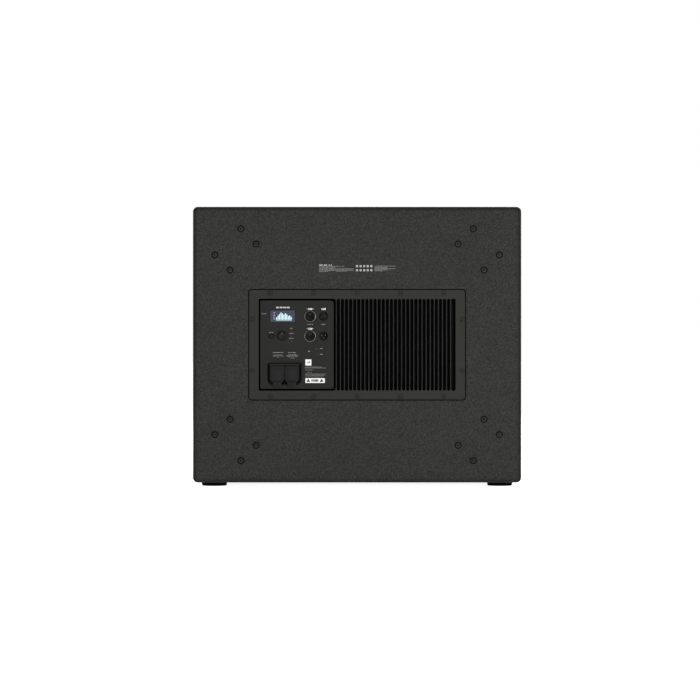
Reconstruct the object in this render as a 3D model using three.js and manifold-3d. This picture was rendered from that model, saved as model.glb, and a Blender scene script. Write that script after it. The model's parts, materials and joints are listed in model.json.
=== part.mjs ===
// Powered 18-inch subwoofer: a plywood bass-reflex cabinet with its amplifier in the rear panel.
// Millimetres, +Z up. The origin is on the floor at the middle of the footprint, the front grille
// faces -Y and the amplifier faces +Y. "Left" is -X, as seen by someone who looks at the grille.
import * as THREE from 'three';
import { mergeVertices } from 'three/addons/utils/BufferGeometryUtils.js';
import Module from 'manifold-3d';

const wasm = await Module();
wasm.setup();

// ---------------------------------------------------------------- driving dimensions
const WIDTH = 680;                 // cabinet, side to side
const HEIGHT = 571;                // cabinet without its feet
const FRONT = -380;                // front edge of the cabinet
const REAR = 372;                  // outer face of the rear panel
const FOOT_HEIGHT = 8;
const PLY = 18;                    // panel thickness
const LONG_EDGE_R = 10;            // rounding of the edges that run from front to rear
const RIM_R = 8;                   // rounding of the front and rear rims
const TOP = FOOT_HEIGHT + HEIGHT;
const MID_Z = FOOT_HEIGHT + HEIGHT / 2;
const HALF_W = WIDTH / 2;
const IN_X = HALF_W - PLY;         // inner face of a side panel
const IN_Z = [FOOT_HEIGHT + PLY, TOP - PLY];

const BAFFLE = [-330, -306];       // front and back faces of the baffle, along Y
const WOOFER_HOLE_R = 212;
const PORT_WALL = [236, 254];      // the two faces of a port wall, out from the centre
const PORT_END = -70;              // inner end of the ports, along Y
const BRACE = { y: [90, 150], z: [482, 500] };

const GRILLE = { front: -377, sheet: 1.5, lip: 8, gap: 1 };
const FOAM = { front: -370, thick: 6, inset: 12 };

const FOOT = { r: 25.75, topR: 26.5, x: 297.5, y: [-330, 320] };
const POLE = {
  r: 17.75, wall: 3.25, depth: 100, flangeR: 45, flange: 3, threadR: 10, threadDepth: 16, floor: 3,
};

const HANDLE = {
  y: 60, z: 362, mouth: [180, 100, 12], plate: [212, 132, 14], depth: 56, wall: 3,
  barR: 14, barUp: 22, barIn: 2,   // barIn: how far the bar sits inside the plane of the panel
};

const CASTER = {
  fromEdge: 88.4, shortPitch: 44.45, longPitch: 76.2, shankR: 3, headR: 7, headTopR: 3.85, headH: 3,
  seatR: 7.75, seat: 0.5,          // each head stands in a shallow round seat
};
const CASTER_PLATE = { size: 92, thick: 4, chamfer: 28 };

const OPENING = [450, 230, 7.5];   // rebate for the amplifier flange: width, height, corner radius
const THROUGH = [420, 203, 4];     // opening below the rebate
const FLANGE = { size: [447, 227, 6], window: [407, 190, 3], thick: 3 };
const CHASSIS = { half: [206, 98], back: -157, wall: 2 };
const PANEL = { x: [46.8, 202], halfH: 93, face: -4, thick: 2, cornerR: 4 };
const FINS = {
  x: [-203, 45.5], count: 29, firstX: 43.1, pitch: 8.443, thick: 2.3, root: -39, base: 8, halfH: 94.5,
};
const BOARD = { x: [52, 196], z: [-34, 88], face: -24, thick: 2 };

const SLACK = 0.3;                 // gap around anything that passes through a panel
const DISPLAY = { x: 154, z: 58.75, w: 52, h: 25.25, sunk: 0.25, deep: 9, marginX: 4, marginZ: 3 };
const KNOB = { x: 155, z: 17.9, skirtR: 10.3, capR: 8.8, y: [-2.5, 8], skirtTop: -0.5, capFoot: 0.5 };
const ENCODER = {
  half: 6, y: [-18.5, -10], bushingR: 3.7, bushingEnd: -1, boreR: 3.2, boreEnd: -15.5,
  plungerR: 2.7, plunger: [-14.4, -13.1], shaftR: 2.9, shaft: [-12.8, 5], holeR: 4,
};
const BUTTON = {
  x: 177.25, z: 17.9, w: 11, h: 7.4, proud: 2.3, shoulder: [-11, -7], shoulderHalf: [7, 5],
  stemR: 1.5, stemEnd: -22.5,
};
const SOCKETS = { left: 97.25, right: 69.5, upper: 58.75, lower: 17.75 };
const NETWORK = {
  ringR: 12.3, ring: 2, barrelR: 11.6, holeR: 12, mouthR: 8.5, mouthEnd: -8, jackEnd: -20,
  jackHalfW: 6, jackZ: [-4, 4.2], stepHalfW: 2, stepZ: -5.6,
};
const XLR = {
  flangeR: 9.4, flange: 1.5, barrelR: 8.7, holeR: 9, contactR: 1.3, contactEnd: -16,
  female: [[-3.9, 2.2], [3.9, 2.2], [0, -4.4]], key: { halfW: 1.5, z: [6, 7.8], end: -14 },
  male: [[-4, 2.4], [4, 2.4], [0, -4.4]], pinR: 1.2, pin: [-20, -6], wellR: 7.9, wellEnd: -19,
};
const LATCH = { w: 9.5, z: [12.9, 17.3], y: [-15, 0.5], headBack: -5, tongueInset: 1, tongueThick: 2 };
const LIGHT_R = 1.5;
const LIGHT_BAR = { halfW: 2.5, y: [-13, -9], past: 3, proud: 0.5 };
const STATUS_LIGHTS = { x: 136.2, z: [27.8, 17.4, 7.1] };
const NETWORK_LIGHTS = { x: 84, z: [-8.6, -20.6] };
const MAINS = {
  x: 150.25, z: -60.25, halfW: 28, halfH: 13.5, back: -32, pitch: 29, boreR: 9.5, boreDepth: 16,
  tongue: { halfW: 4.5, halfH: 1.6, length: 11 },
};
const COVER = {
  halfW: 33.5, z: [-81, -39.5], thick: 3, taper: 7, nip: 2, wellR: 10.75,
  hingeZ: -43.2, hingeY: 3.8, headerFoot: -43, flapW: 30, flapBottom: -79.5, flapR: 4, flapSplay: 0.75,
  plugR: 8.8, tab: [17, 11, 3],
};

const BASKET = {
  sides: 6, window: [78, 62, 130], windowAt: [68, 165],   // windowAt: Y and distance from the axis
  terminals: { x: 12, y: [112, 128], z: [-150, -116], turn: 30 },
};
const GASKET = { r: [222.5, 231], y: [-12, -8] };
const SURROUND = { lipR: [213.5, 222], lipY: [-9.5, -8], waves: 2, height: 5, thick: 1.5, sink: -2 };
const SPIDER = { outerR: 116, outerY: 111.5, innerY: 104, gap: 0.5, waves: 3, height: 4, thick: 1 };
const CONE = { outerR: 190, neckR: 51.5, edgeY: -6, neckY: 94, wall: 2, bend: [116.75, 50] };
const DOME = { r: 62, y: 76, rise: 16, wall: 2, steps: 4 };
const COIL = { innerR: 49.2, outerR: 51.2, y: [88, 158] };
const MOTOR = {
  plateR: 105, magnetR: 110, magnetInnerR: 62, poleR: 48, ventR: 14, gapR: 52.75,
  plateY: [140, 150], magnetY: [150, 176], backY: [176, 190], poleProud: 3,
};

const LEAD = {
  r: 3.5, steps: 24,
  route: [[120, 214.5, 232], [120, 200, 232], [126, 150, 172], [132, 80, 72], [132, 0, 46], [128, -80, 46],
    [110, -150, 76], [84, -188, 130], [76, -198, 160]],
};

// ---------------------------------------------------------------- finishes
const finish = (color, roughness, metalness = 0) =>
  new THREE.MeshStandardMaterial({ color, roughness, metalness });
const COATING = finish(0x3b3b39, 0.85);
const BARE_PLY = finish(0x9a7a52, 0.8);
const BLACK_STEEL = finish(0x1f1f20, 0.5, 0.6);
const FLANGE_COAT = finish(0x393937, 0.65, 0.2);
const PANEL_COAT = finish(0x2c2c2d, 0.6, 0.2);
const ANODISED = finish(0x262627, 0.45, 0.7);
const ZINC = finish(0xb4b6b8, 0.4, 0.9);
const RUBBER = finish(0x111112, 0.9);
const BLACK_PLASTIC = finish(0x1b1b1c, 0.5);
const BRIGHT = finish(0xc9cbcd, 0.3, 0.9);
const FOAM_BLACK = finish(0x17171a, 1);
const LENS = finish(0x8fa8e8, 0.1);
const BOARD_GREEN = finish(0x1f5a34, 0.6);
const PAPER = finish(0x2a2826, 0.8);
const CLOTH = finish(0x22201e, 0.95);
const YELLOW_CLOTH = finish(0xb08b3a, 0.9);
const COPPER = finish(0xb87333, 0.35, 0.9);
const FERRITE = finish(0x2b2b2e, 0.7);
const LIGHT_GUIDE = finish(0xd5d8da, 0.2);

// ---------------------------------------------------------------- solids from geometries
/** Welds a geometry, drops its empty triangles, turns its faces outwards and makes it a solid. */
function solid(geometry) {
  geometry.deleteAttribute('normal');
  geometry.deleteAttribute('uv');
  const welded = mergeVertices(geometry, 1e-4);
  const points = welded.attributes.position.array;
  const corner = (i) => new THREE.Vector3().fromArray(points, 3 * i);
  const faces = [];
  let volume = 0;
  for (let i = 0; i < welded.index.count; i += 3) {
    const [a, b, c] = welded.index.array.slice(i, i + 3);
    if (a === b || b === c || c === a) continue;
    faces.push([a, b, c]);
    volume += corner(a).dot(corner(b).cross(corner(c)));
  }
  const triVerts = Uint32Array.from((volume < 0 ? faces.map((f) => f.reverse()) : faces).flat());
  const vertProperties = Float32Array.from(points);
  return new wasm.Manifold(new wasm.Mesh({ numProp: 3, vertProperties, triVerts }));
}

/** The three.js geometry of a finished solid. */
function geometryOf(body) {
  const mesh = body.getMesh();
  const geometry = new THREE.BufferGeometry();
  const points = new Float32Array(mesh.vertProperties);
  geometry.setAttribute('position', new THREE.BufferAttribute(points, 3));
  geometry.setIndex(new THREE.BufferAttribute(new Uint32Array(mesh.triVerts), 1));
  return geometry;
}

const middle = ([lo, hi]) => (lo + hi) / 2;
const span = ([lo, hi]) => hi - lo;
const about = (centre, half) => [centre - half, centre + half];
const sorted = (a, b) => (a < b ? [a, b] : [b, a]);
const join = (first, ...rest) => rest.reduce((sum, piece) => sum.add(piece), first);
/** The corner radius of a stadium of this height, just short of half, so that no side is empty. */
const stadiumR = (h) => h / 2 - 0.01;
const cut = (body, ...tools) => tools.reduce((left, tool) => left.subtract(tool), body);

/** A box from its three ranges. */
const box = (x, y, z) =>
  solid(new THREE.BoxGeometry(span(x), span(y), span(z)).translate(middle(x), middle(y), middle(z)));

/** A round bar along Y from y[0] to y[1], round the point (x, z). */
const barY = (r, y, x = 0, z = 0, sides = 16) =>
  solid(new THREE.CylinderGeometry(r, r, span(y), sides).translate(x, middle(y), z));

/** An outline drawn in X and Z, extruded along Y. */
function slabY(outline, y, curveSegments = 4) {
  const shape = new THREE.ExtrudeGeometry(outline, { depth: span(y), bevelEnabled: false, curveSegments });
  return solid(shape.rotateX(Math.PI / 2).translate(0, y[1], 0));
}

/** An outline drawn in X and Y, extruded along Z. */
function slabZ(outline, z, curveSegments = 4) {
  const shape = new THREE.ExtrudeGeometry(outline, { depth: span(z), bevelEnabled: false, curveSegments });
  return solid(shape.translate(0, 0, z[0]));
}

/** An outline drawn in Y and Z, extruded along X. */
function slabX(outline, x, curveSegments = 4) {
  const shape = new THREE.ExtrudeGeometry(outline, { depth: span(x), bevelEnabled: false, curveSegments });
  return solid(shape.rotateX(Math.PI / 2).rotateZ(Math.PI / 2).translate(x[0], 0, 0));
}

/** A closed profile of [radius, y] points turned round the Y axis. */
const turnedY = (profile, sides = 24) =>
  solid(new THREE.LatheGeometry([...profile, profile[0]].map(([r, y]) => new THREE.Vector2(r, y)), sides));

/** A closed profile of [radius, z] points turned round the Z axis. */
const turnedZ = (profile, sides = 24) =>
  solid(new THREE.LatheGeometry([...profile, profile[0]].map(([r, z]) => new THREE.Vector2(r, z)), sides)
    .rotateX(Math.PI / 2));

/** A rectangle with round corners, centred on (cx, cy). */
function roundedRect(w, h, r, cx = 0, cy = 0) {
  const shape = new THREE.Shape();
  const [x, y] = [w / 2 - r, h / 2 - r];
  [[x, y], [-x, y], [-x, -y], [x, -y]].forEach(([dx, dy], quarter) => {
    shape.absarc(cx + dx, cy + dy, r, quarter * Math.PI / 2, (quarter + 1) * Math.PI / 2, false);
  });
  shape.closePath();
  return shape;
}

function polygon(points) {
  return new THREE.Shape(points.map(([x, y]) => new THREE.Vector2(x, y)));
}

const subwoofer = new THREE.Group();

/** Adds one named piece to a group, at a place in that group. */
function add(group, name, body, material, place = [0, 0, 0]) {
  const mesh = new THREE.Mesh(geometryOf(body), material);
  mesh.name = name;
  mesh.position.set(...place);
  group.add(mesh);
}

// ---------------------------------------------------------------- cabinet
/** The outside of the cabinet: long edges rounded, and the front and rear rims rounded over. */
function cabinetEnvelope() {
  const depth = REAR - FRONT;
  const midY = (REAR + FRONT) / 2;
  const acrossXZ = slabY(roundedRect(WIDTH, HEIGHT, LONG_EDGE_R, 0, MID_Z), [FRONT, REAR]);
  const acrossYZ = slabX(roundedRect(depth, HEIGHT, RIM_R, midY, MID_Z), [-HALF_W, HALF_W]);
  const acrossXY = slabZ(roundedRect(WIDTH, depth, RIM_R, 0, midY), [FOOT_HEIGHT, TOP]);
  return acrossXZ.intersect(acrossYZ).intersect(acrossXY);
}

/** Where the four caster points sit, as X and Z. */
const casterPoints = () => {
  const x = HALF_W - CASTER.fromEdge;
  const z = HEIGHT / 2 - CASTER.fromEdge;
  return [['lower_left', -x, -z], ['lower_right', x, -z], ['upper_left', -x, z], ['upper_right', x, z]]
    .map(([name, dx, dz]) => ({ name, x: dx, z: MID_Z + dz, sx: Math.sign(dx), sz: Math.sign(dz) }));
};

/** The four screws of a caster point: the short pitch points at the panel's centre. */
function casterScrews(sx, sz) {
  const [a, b] = [CASTER.shortPitch / 2 * Math.SQRT1_2, CASTER.longPitch / 2 * Math.SQRT1_2];
  return [[1, 1], [1, -1], [-1, 1], [-1, -1]].map(([i, j]) => [sx * (i * a - j * b), sz * (i * a + j * b)]);
}

function cabinetPanels() {
  const envelope = cabinetEnvelope();
  const y = [FRONT, REAR];
  const bore = (r, depth) => turnedZ([[0, TOP - depth], [r, TOP - depth], [r, TOP + 1], [0, TOP + 1]]);
  const top = cut(box([-HALF_W, HALF_W], y, [IN_Z[1], TOP]).intersect(envelope),
    bore(POLE.flangeR + SLACK, POLE.flange), bore(POLE.r + POLE.wall + SLACK, PLY + 1));
  add(subwoofer, 'top_panel', top, COATING);
  const bottom = box([-HALF_W, HALF_W], y, [FOOT_HEIGHT, IN_Z[0]]).intersect(envelope);
  add(subwoofer, 'bottom_panel', bottom, COATING);

  for (const [name, side] of [['left', -1], ['right', 1]]) {
    const across = (inner, outer) => sorted(side * inner, side * outer);
    const opening = ([w, h, r], x) =>
      slabX(roundedRect(w + 2 * SLACK, h + 2 * SLACK, r, HANDLE.y, HANDLE.z), x);
    add(subwoofer, `${name}_side_panel`, cut(box(across(IN_X, HALF_W), y, IN_Z).intersect(envelope),
      opening(HANDLE.mouth, across(IN_X - 1, HALF_W + 1)),
      opening(HANDLE.plate, across(HALF_W - HANDLE.wall, HALF_W + 1))), COATING);
    add(subwoofer, `${name}_port_wall`, box(across(...PORT_WALL), [BAFFLE[0], PORT_END], IN_Z), BARE_PLY);
  }

  const rebate = slabY(roundedRect(...OPENING, 0, MID_Z), [REAR - FLANGE.thick, REAR + 1]);
  const through = slabY(roundedRect(...THROUGH, 0, MID_Z), [REAR - PLY - 1, REAR + 1]);
  const screwHoles = casterPoints().flatMap(({ x, z, sx, sz }) => casterScrews(sx, sz)
    .flatMap(([dx, dz]) => [
      barY(CASTER.shankR + SLACK, [REAR - PLY - 1, REAR + 1], x + dx, z + dz, 6),
      barY(CASTER.seatR, [REAR - CASTER.seat, REAR + 1], x + dx, z + dz, 10),
    ]));
  const rear = box([-IN_X, IN_X], [REAR - PLY, REAR], IN_Z);
  add(subwoofer, 'rear_panel', cut(rear, rebate, through, ...screwHoles), COATING);

  const hole = barY(WOOFER_HOLE_R, [BAFFLE[0] - 1, BAFFLE[1] + 1], 0, MID_Z, 24);
  const baffle = box([-PORT_WALL[0], PORT_WALL[0]], BAFFLE, IN_Z);
  add(subwoofer, 'front_baffle', cut(baffle, hole), COATING);
  add(subwoofer, 'cross_brace', box([-IN_X, IN_X], BRACE.y, BRACE.z), BARE_PLY);
}

function grilleAndFoam() {
  const [hx, hz] = [IN_X - GRILLE.gap, (IN_Z[1] - IN_Z[0]) / 2 - GRILLE.gap];
  const outer = box([-hx, hx], [GRILLE.front, GRILLE.front + GRILLE.lip], about(MID_Z, hz));
  const inner = box(about(0, hx - GRILLE.sheet), [GRILLE.front + GRILLE.sheet, GRILLE.front + GRILLE.lip + 1],
    about(MID_Z, hz - GRILLE.sheet));
  add(subwoofer, 'front_grille', cut(outer, inner), BLACK_STEEL);
  const foamY = [FOAM.front, FOAM.front + FOAM.thick];
  const foam = box(about(0, hx - FOAM.inset), foamY, about(MID_Z, hz - FOAM.inset));
  add(subwoofer, 'grille_foam', foam, FOAM_BLACK);
}

function feet() {
  const foot = turnedZ([[0, 0], [FOOT.r - 1, 0], [FOOT.r, 1], [FOOT.topR, FOOT_HEIGHT], [0, FOOT_HEIGHT]]);
  for (const [end, y] of [['front', FOOT.y[0]], ['rear', FOOT.y[1]]]) {
    for (const [side, x] of [['left', -FOOT.x], ['right', FOOT.x]]) {
      add(subwoofer, `foot_${end}_${side}`, foot, RUBBER, [x, y, 0]);
    }
  }
}

/** A flanged tube, closed below by a threaded block, for a loudspeaker pole. */
function poleSocket() {
  const { r, wall, depth, flangeR, flange, threadR } = POLE;
  const floor = TOP - depth;
  const threadEnd = floor - POLE.threadDepth;
  const bottom = threadEnd - POLE.floor;
  add(subwoofer, 'pole_socket', turnedZ([
    [0, bottom], [r + wall, bottom], [r + wall, TOP - flange], [flangeR, TOP - flange], [flangeR, TOP],
    [r, TOP], [r, floor], [threadR, floor], [threadR, threadEnd], [0, threadEnd],
  ]), BLACK_STEEL);
}

/** A pressed dish in the side panel with a round bar across its mouth. */
function handle(name, side) {
  const { y, z, mouth: [w, h, r], plate, depth, wall, barR, barUp, barIn } = HANDLE;
  const inwards = (from, to) => sorted(side * (HALF_W - from), side * (HALF_W - to));
  const dish = join(
    slabX(roundedRect(...plate, y, z), inwards(0, wall)),
    slabX(roundedRect(w, h, r, y, z), inwards(0, depth)),
  );
  const hollow = slabX(roundedRect(w - 2 * wall, h - 2 * wall, r - 2, y, z), inwards(-1, depth - wall));
  const bar = barY(barR, about(y, w / 2 - 1), side * (HALF_W - barR - barIn), z + barUp);
  add(subwoofer, `${name}_handle`, join(cut(dish, hollow), bar), BLACK_STEEL);
}

/** Four screws run home into the tapped plate behind the rear panel. */
function casterPlate({ name, x, z, sx, sz }) {
  const { size, thick, chamfer } = CASTER_PLATE;
  const half = size / 2;
  const outline = polygon([[-half, chamfer - half], [chamfer - half, -half], [half, -half],
    [half, half - chamfer], [half - chamfer, half], [-half, half]].map(([a, b]) => [-a * sx, b * sz]));
  const screws = casterScrews(sx, sz).map(([dx, dz]) => join(
    barY(CASTER.shankR, [-PLY - thick / 2, CASTER.headH / 2], dx, dz, 6),
    solid(new THREE.CylinderGeometry(CASTER.headTopR, CASTER.headR, CASTER.headH, 10)
      .translate(dx, CASTER.headH / 2 - CASTER.seat, dz)),
  ));
  const plate = slabY(outline, [-PLY - thick, -PLY]);
  add(subwoofer, `caster_plate_${name}`, join(plate, ...screws), ZINC, [x, REAR, z]);
}

// ---------------------------------------------------------------- amplifier, in its own frame
// Origin at the middle of the rear panel's outer face: y = 0 is flush with it, -y is into the cabinet.
const amplifier = new THREE.Group();
amplifier.position.set(0, REAR, MID_Z);
subwoofer.add(amplifier);

function flangeAndChassis() {
  const flange = slabY(roundedRect(...FLANGE.size), [-FLANGE.thick, 0]);
  const window = slabY(roundedRect(...FLANGE.window), [-FLANGE.thick - 1, 1]);
  add(amplifier, 'amp_flange', cut(flange, window), FLANGE_COAT);
  const { half: [hx, hz], back, wall } = CHASSIS;
  const shell = box([-hx, hx], [back, -FLANGE.thick], [-hz, hz]);
  const bay = box([wall - hx, hx - wall], [back + wall, 1], [wall - hz, hz - wall]);
  add(amplifier, 'amp_chassis', cut(shell, bay), ZINC);
}

/** A comb of upright fins on a thick base. */
function heatSink() {
  const { x: [x0, x1], count, firstX, pitch, thick, root, base, halfH } = FINS;
  const outline = [[x0, root - base], [x1, root - base], [x1, root]];
  for (let i = 0; i < count; i += 1) {
    const x = firstX - i * pitch;
    const [left, right] = about(x, thick / 2);
    outline.push([right, root], [right, 0], [left, 0], [left, root]);
  }
  outline.push([x0, root]);
  add(amplifier, 'heat_sink', slabZ(polygon(outline), [-halfH, halfH]), ANODISED);
}

function controlPanel() {
  const y = [PANEL.face - PANEL.thick, PANEL.face];
  const hole = [y[0] - 1, y[1] + 1];
  const { left, right, upper, lower } = SOCKETS;
  const opening = (x, z, halfW, halfH) => box(about(x, halfW + SLACK), hole, about(z, halfH + SLACK));
  const latchHole = (x, z) => opening(x, z + middle(LATCH.z), LATCH.w / 2, span(LATCH.z) / 2);
  const [buttonW, buttonH] = [BUTTON.w + 2 * SLACK, BUTTON.h + 2 * SLACK];
  const lightHoles = [STATUS_LIGHTS, NETWORK_LIGHTS]
    .flatMap(({ x, z }) => z.map((at) => barY(LIGHT_R + SLACK, hole, x, at, 8)));
  const sheet = slabY(roundedRect(span(PANEL.x), 2 * PANEL.halfH, PANEL.cornerR, middle(PANEL.x), 0), y);
  add(amplifier, 'control_panel', cut(sheet,
    opening(DISPLAY.x, DISPLAY.z, DISPLAY.w / 2, DISPLAY.h / 2),
    opening(MAINS.x, MAINS.z, MAINS.halfW, MAINS.halfH),
    barY(ENCODER.holeR, hole, KNOB.x, KNOB.z),
    slabY(roundedRect(buttonW, buttonH, stadiumR(buttonH), BUTTON.x, BUTTON.z), hole),
    barY(NETWORK.holeR, hole, left, upper), barY(NETWORK.holeR, hole, left, lower),
    barY(XLR.holeR, hole, right, upper), barY(XLR.holeR, hole, right, lower),
    latchHole(left, upper), latchHole(left, lower), latchHole(right, upper),
    ...lightHoles,
  ), PANEL_COAT);
}

/** Three boards. The power board carries the big parts, which stand up from the chassis floor. */
function electronics() {
  const legs = [-160, -110, -60, -10].map((x) => box(about(x, 12), [-59, -47], [-20, 15]));
  const coils = [-130, -50].map((x) => barY(16, [-86, -59], x, 40, 12));
  const ampBoard = box([-195, 40], [-60, -58], [-85, 62]);
  add(amplifier, 'amp_board', join(ampBoard, ...legs, ...coils), BOARD_GREEN);

  const boardZ = [-92, -90];
  const can = (x, y, r, h) =>
    turnedZ([[0, boardZ[0] + 1], [r, boardZ[0] + 1], [r, boardZ[1] + h], [0, boardZ[1] + h]], 12)
      .translate([x, y, 0]);
  const capacitors = [-160, -120, -80].map((x) => can(x, -120, 16, 46));
  const choke = can(160, -105, 18, 40);
  const transformer = box([60, 130], [-145, -80], [boardZ[0] + 1, -40]);
  const powerBoard = box([-190, 190], [-150, -66], boardZ);
  add(amplifier, 'power_supply', join(powerBoard, ...capacitors, transformer, choke), BOARD_GREEN);
  const controlBoard = box(BOARD.x, [BOARD.face - BOARD.thick, BOARD.face], BOARD.z);
  add(amplifier, 'control_board', controlBoard, BOARD_GREEN);
}

function displayPieces() {
  const back = PANEL.face - PANEL.thick;
  const { x, z, w, h, sunk, deep, marginX, marginZ } = DISPLAY;
  const lens = box(about(x, w / 2), [back, PANEL.face - sunk], about(z, h / 2));
  add(amplifier, 'display_lens', lens, LENS);
  const module = box(about(x, w / 2 + marginX), [back - deep, back], about(z, h / 2 + marginZ));
  add(amplifier, 'display_module', module, BLACK_PLASTIC);
}

/** A push-to-select rotary control: fixed body, sliding plunger, and a turning shaft with its knob. */
function encoder() {
  const place = [KNOB.x, 0, KNOB.z];
  const { half, y, bushingR, bushingEnd, boreR, boreEnd, plungerR, shaftR } = ENCODER;
  const can = join(box([-half, half], y, [-half, half]), barY(bushingR, [y[1] - 1, bushingEnd]));
  add(amplifier, 'encoder_body', cut(can, barY(boreR, [boreEnd, 0])), ZINC, place);
  add(amplifier, 'encoder_plunger', barY(plungerR, ENCODER.plunger), BLACK_PLASTIC, place);
  add(amplifier, 'encoder_shaft', barY(shaftR, ENCODER.shaft), ZINC, place);
  const { skirtR, capR, y: [back, tip], skirtTop, capFoot } = KNOB;
  const [clearR, bushClearR] = [shaftR + SLACK / 2, bushingR + 1.3];
  const shaftEnd = ENCODER.shaft[1] + SLACK;
  const knob = turnedY([[clearR, shaftEnd], [clearR, capFoot], [bushClearR, capFoot], [bushClearR, back],
    [skirtR, back], [skirtR, skirtTop], [capR, capFoot], [capR - 0.3, tip - 0.7], [capR - 1, tip],
    [0, tip], [0, shaftEnd]], 16);
  add(amplifier, 'encoder_knob', knob, BLACK_PLASTIC, place);
}

function backButton() {
  const { x, z, w, h, proud, shoulder: [y0, y1], shoulderHalf: [sx, sz], stemR, stemEnd } = BUTTON;
  const cap = slabY(roundedRect(w, h, stadiumR(h)), [y0, PANEL.face + proud]);
  const shoulder = box([-sx, sx], [y0, y1], [-sz, sz]);
  const stem = barY(stemR, [stemEnd, y0 + 1], 0, 0, 8);
  add(amplifier, 'back_button', join(cap, shoulder, stem), BLACK_PLASTIC, [x, 0, z]);
}

/** A die-cast round network socket: a proud ring, a barrel, and the jack's square mouth inside. */
function networkSocket(name, x, z) {
  const { ringR, ring, barrelR, mouthR, mouthEnd, jackEnd, jackHalfW, jackZ, stepHalfW, stepZ } = NETWORK;
  const shell = join(barY(ringR, [PANEL.face, PANEL.face + ring], 0, 0, 24),
    barY(barrelR, [BOARD.face, PANEL.face + 1]));
  const depth = [jackEnd, mouthEnd + 1];
  const jack = join(box([-jackHalfW, jackHalfW], depth, jackZ),
    box([-stepHalfW, stepHalfW], depth, [stepZ, jackZ[0] + 1]));
  add(amplifier, name, cut(shell, barY(mouthR, [mouthEnd, 0]), jack), BRIGHT, [x, 0, z]);
}

/** The shell that both three-pole sockets share: a flange on the panel and a barrel behind it. */
const xlrShell = () => join(barY(XLR.flangeR, [PANEL.face, PANEL.face + XLR.flange]),
  barY(XLR.barrelR, [BOARD.face, PANEL.face + 1]));

/** A female three-pole socket: a black front with three pin holes and a keyway. */
function xlrInput() {
  const { contactR, contactEnd, female, key } = XLR;
  const holes = female.map(([x, z]) => barY(contactR, [contactEnd, 0], x, z, 6));
  const keyway = box([-key.halfW, key.halfW], [key.end, 0], key.z);
  add(amplifier, 'xlr_input', cut(xlrShell(), ...holes, keyway), BLACK_PLASTIC,
    [SOCKETS.right, 0, SOCKETS.upper]);
}

/** A male three-pole socket: three pins stand in a round well. */
function xlrLinkOutput() {
  const pins = XLR.male.map(([x, z]) => barY(XLR.pinR, XLR.pin, x, z, 6));
  const well = barY(XLR.wellR, [XLR.wellEnd, 0]);
  add(amplifier, 'xlr_link_output', join(cut(xlrShell(), well), ...pins), BLACK_PLASTIC,
    [SOCKETS.right, 0, SOCKETS.lower]);
}

/** The release tabs above three sockets: a head in the panel, and a tongue that runs back inside. */
function latches() {
  const { w, z, y, headBack, tongueInset, tongueThick } = LATCH;
  const head = box(about(0, w / 2), [headBack, y[1]], z);
  const tongue = box(about(0, w / 2 - tongueInset), [y[0], headBack + 0.5], [z[0], z[0] + tongueThick]);
  const tab = join(head, tongue);
  const { left, right, upper, lower } = SOCKETS;
  add(amplifier, 'upper_network_latch', tab, BRIGHT, [left, 0, upper]);
  add(amplifier, 'lower_network_latch', tab, BRIGHT, [left, 0, lower]);
  add(amplifier, 'xlr_latch', tab, BRIGHT, [right, 0, upper]);
}

/** Clear pins through the control panel, joined by a bar behind it. */
function lightGuide(name, { x, z }) {
  const { halfW, y, past, proud } = LIGHT_BAR;
  const bar = box([-halfW, halfW], y, [Math.min(...z) - past, Math.max(...z) + past]);
  const pins = z.map((at) => barY(LIGHT_R, [y[1] - 1, PANEL.face + proud], 0, at, 8));
  add(amplifier, name, join(bar, ...pins), LIGHT_GUIDE, [x, 0, 0]);
}

/** Two round mains sockets in one block, each with a flat contact tongue. */
function mainsSockets() {
  const { x, z, halfW, halfH, back, pitch, boreR, boreDepth, tongue } = MAINS;
  const floor = PANEL.face - boreDepth;
  const block = box([-halfW, halfW], [back, PANEL.face], [-halfH, halfH]);
  const places = [-pitch / 2, pitch / 2];
  const bores = places.map((at) => barY(boreR, [floor, 0], at));
  const tongues = places.map((at) =>
    box(about(at, tongue.halfW), [floor - 1, floor + tongue.length], about(0, tongue.halfH)));
  add(amplifier, 'mains_socket_block', join(cut(block, ...bores), ...tongues), BLACK_PLASTIC, [x, 0, z]);
}

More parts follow.
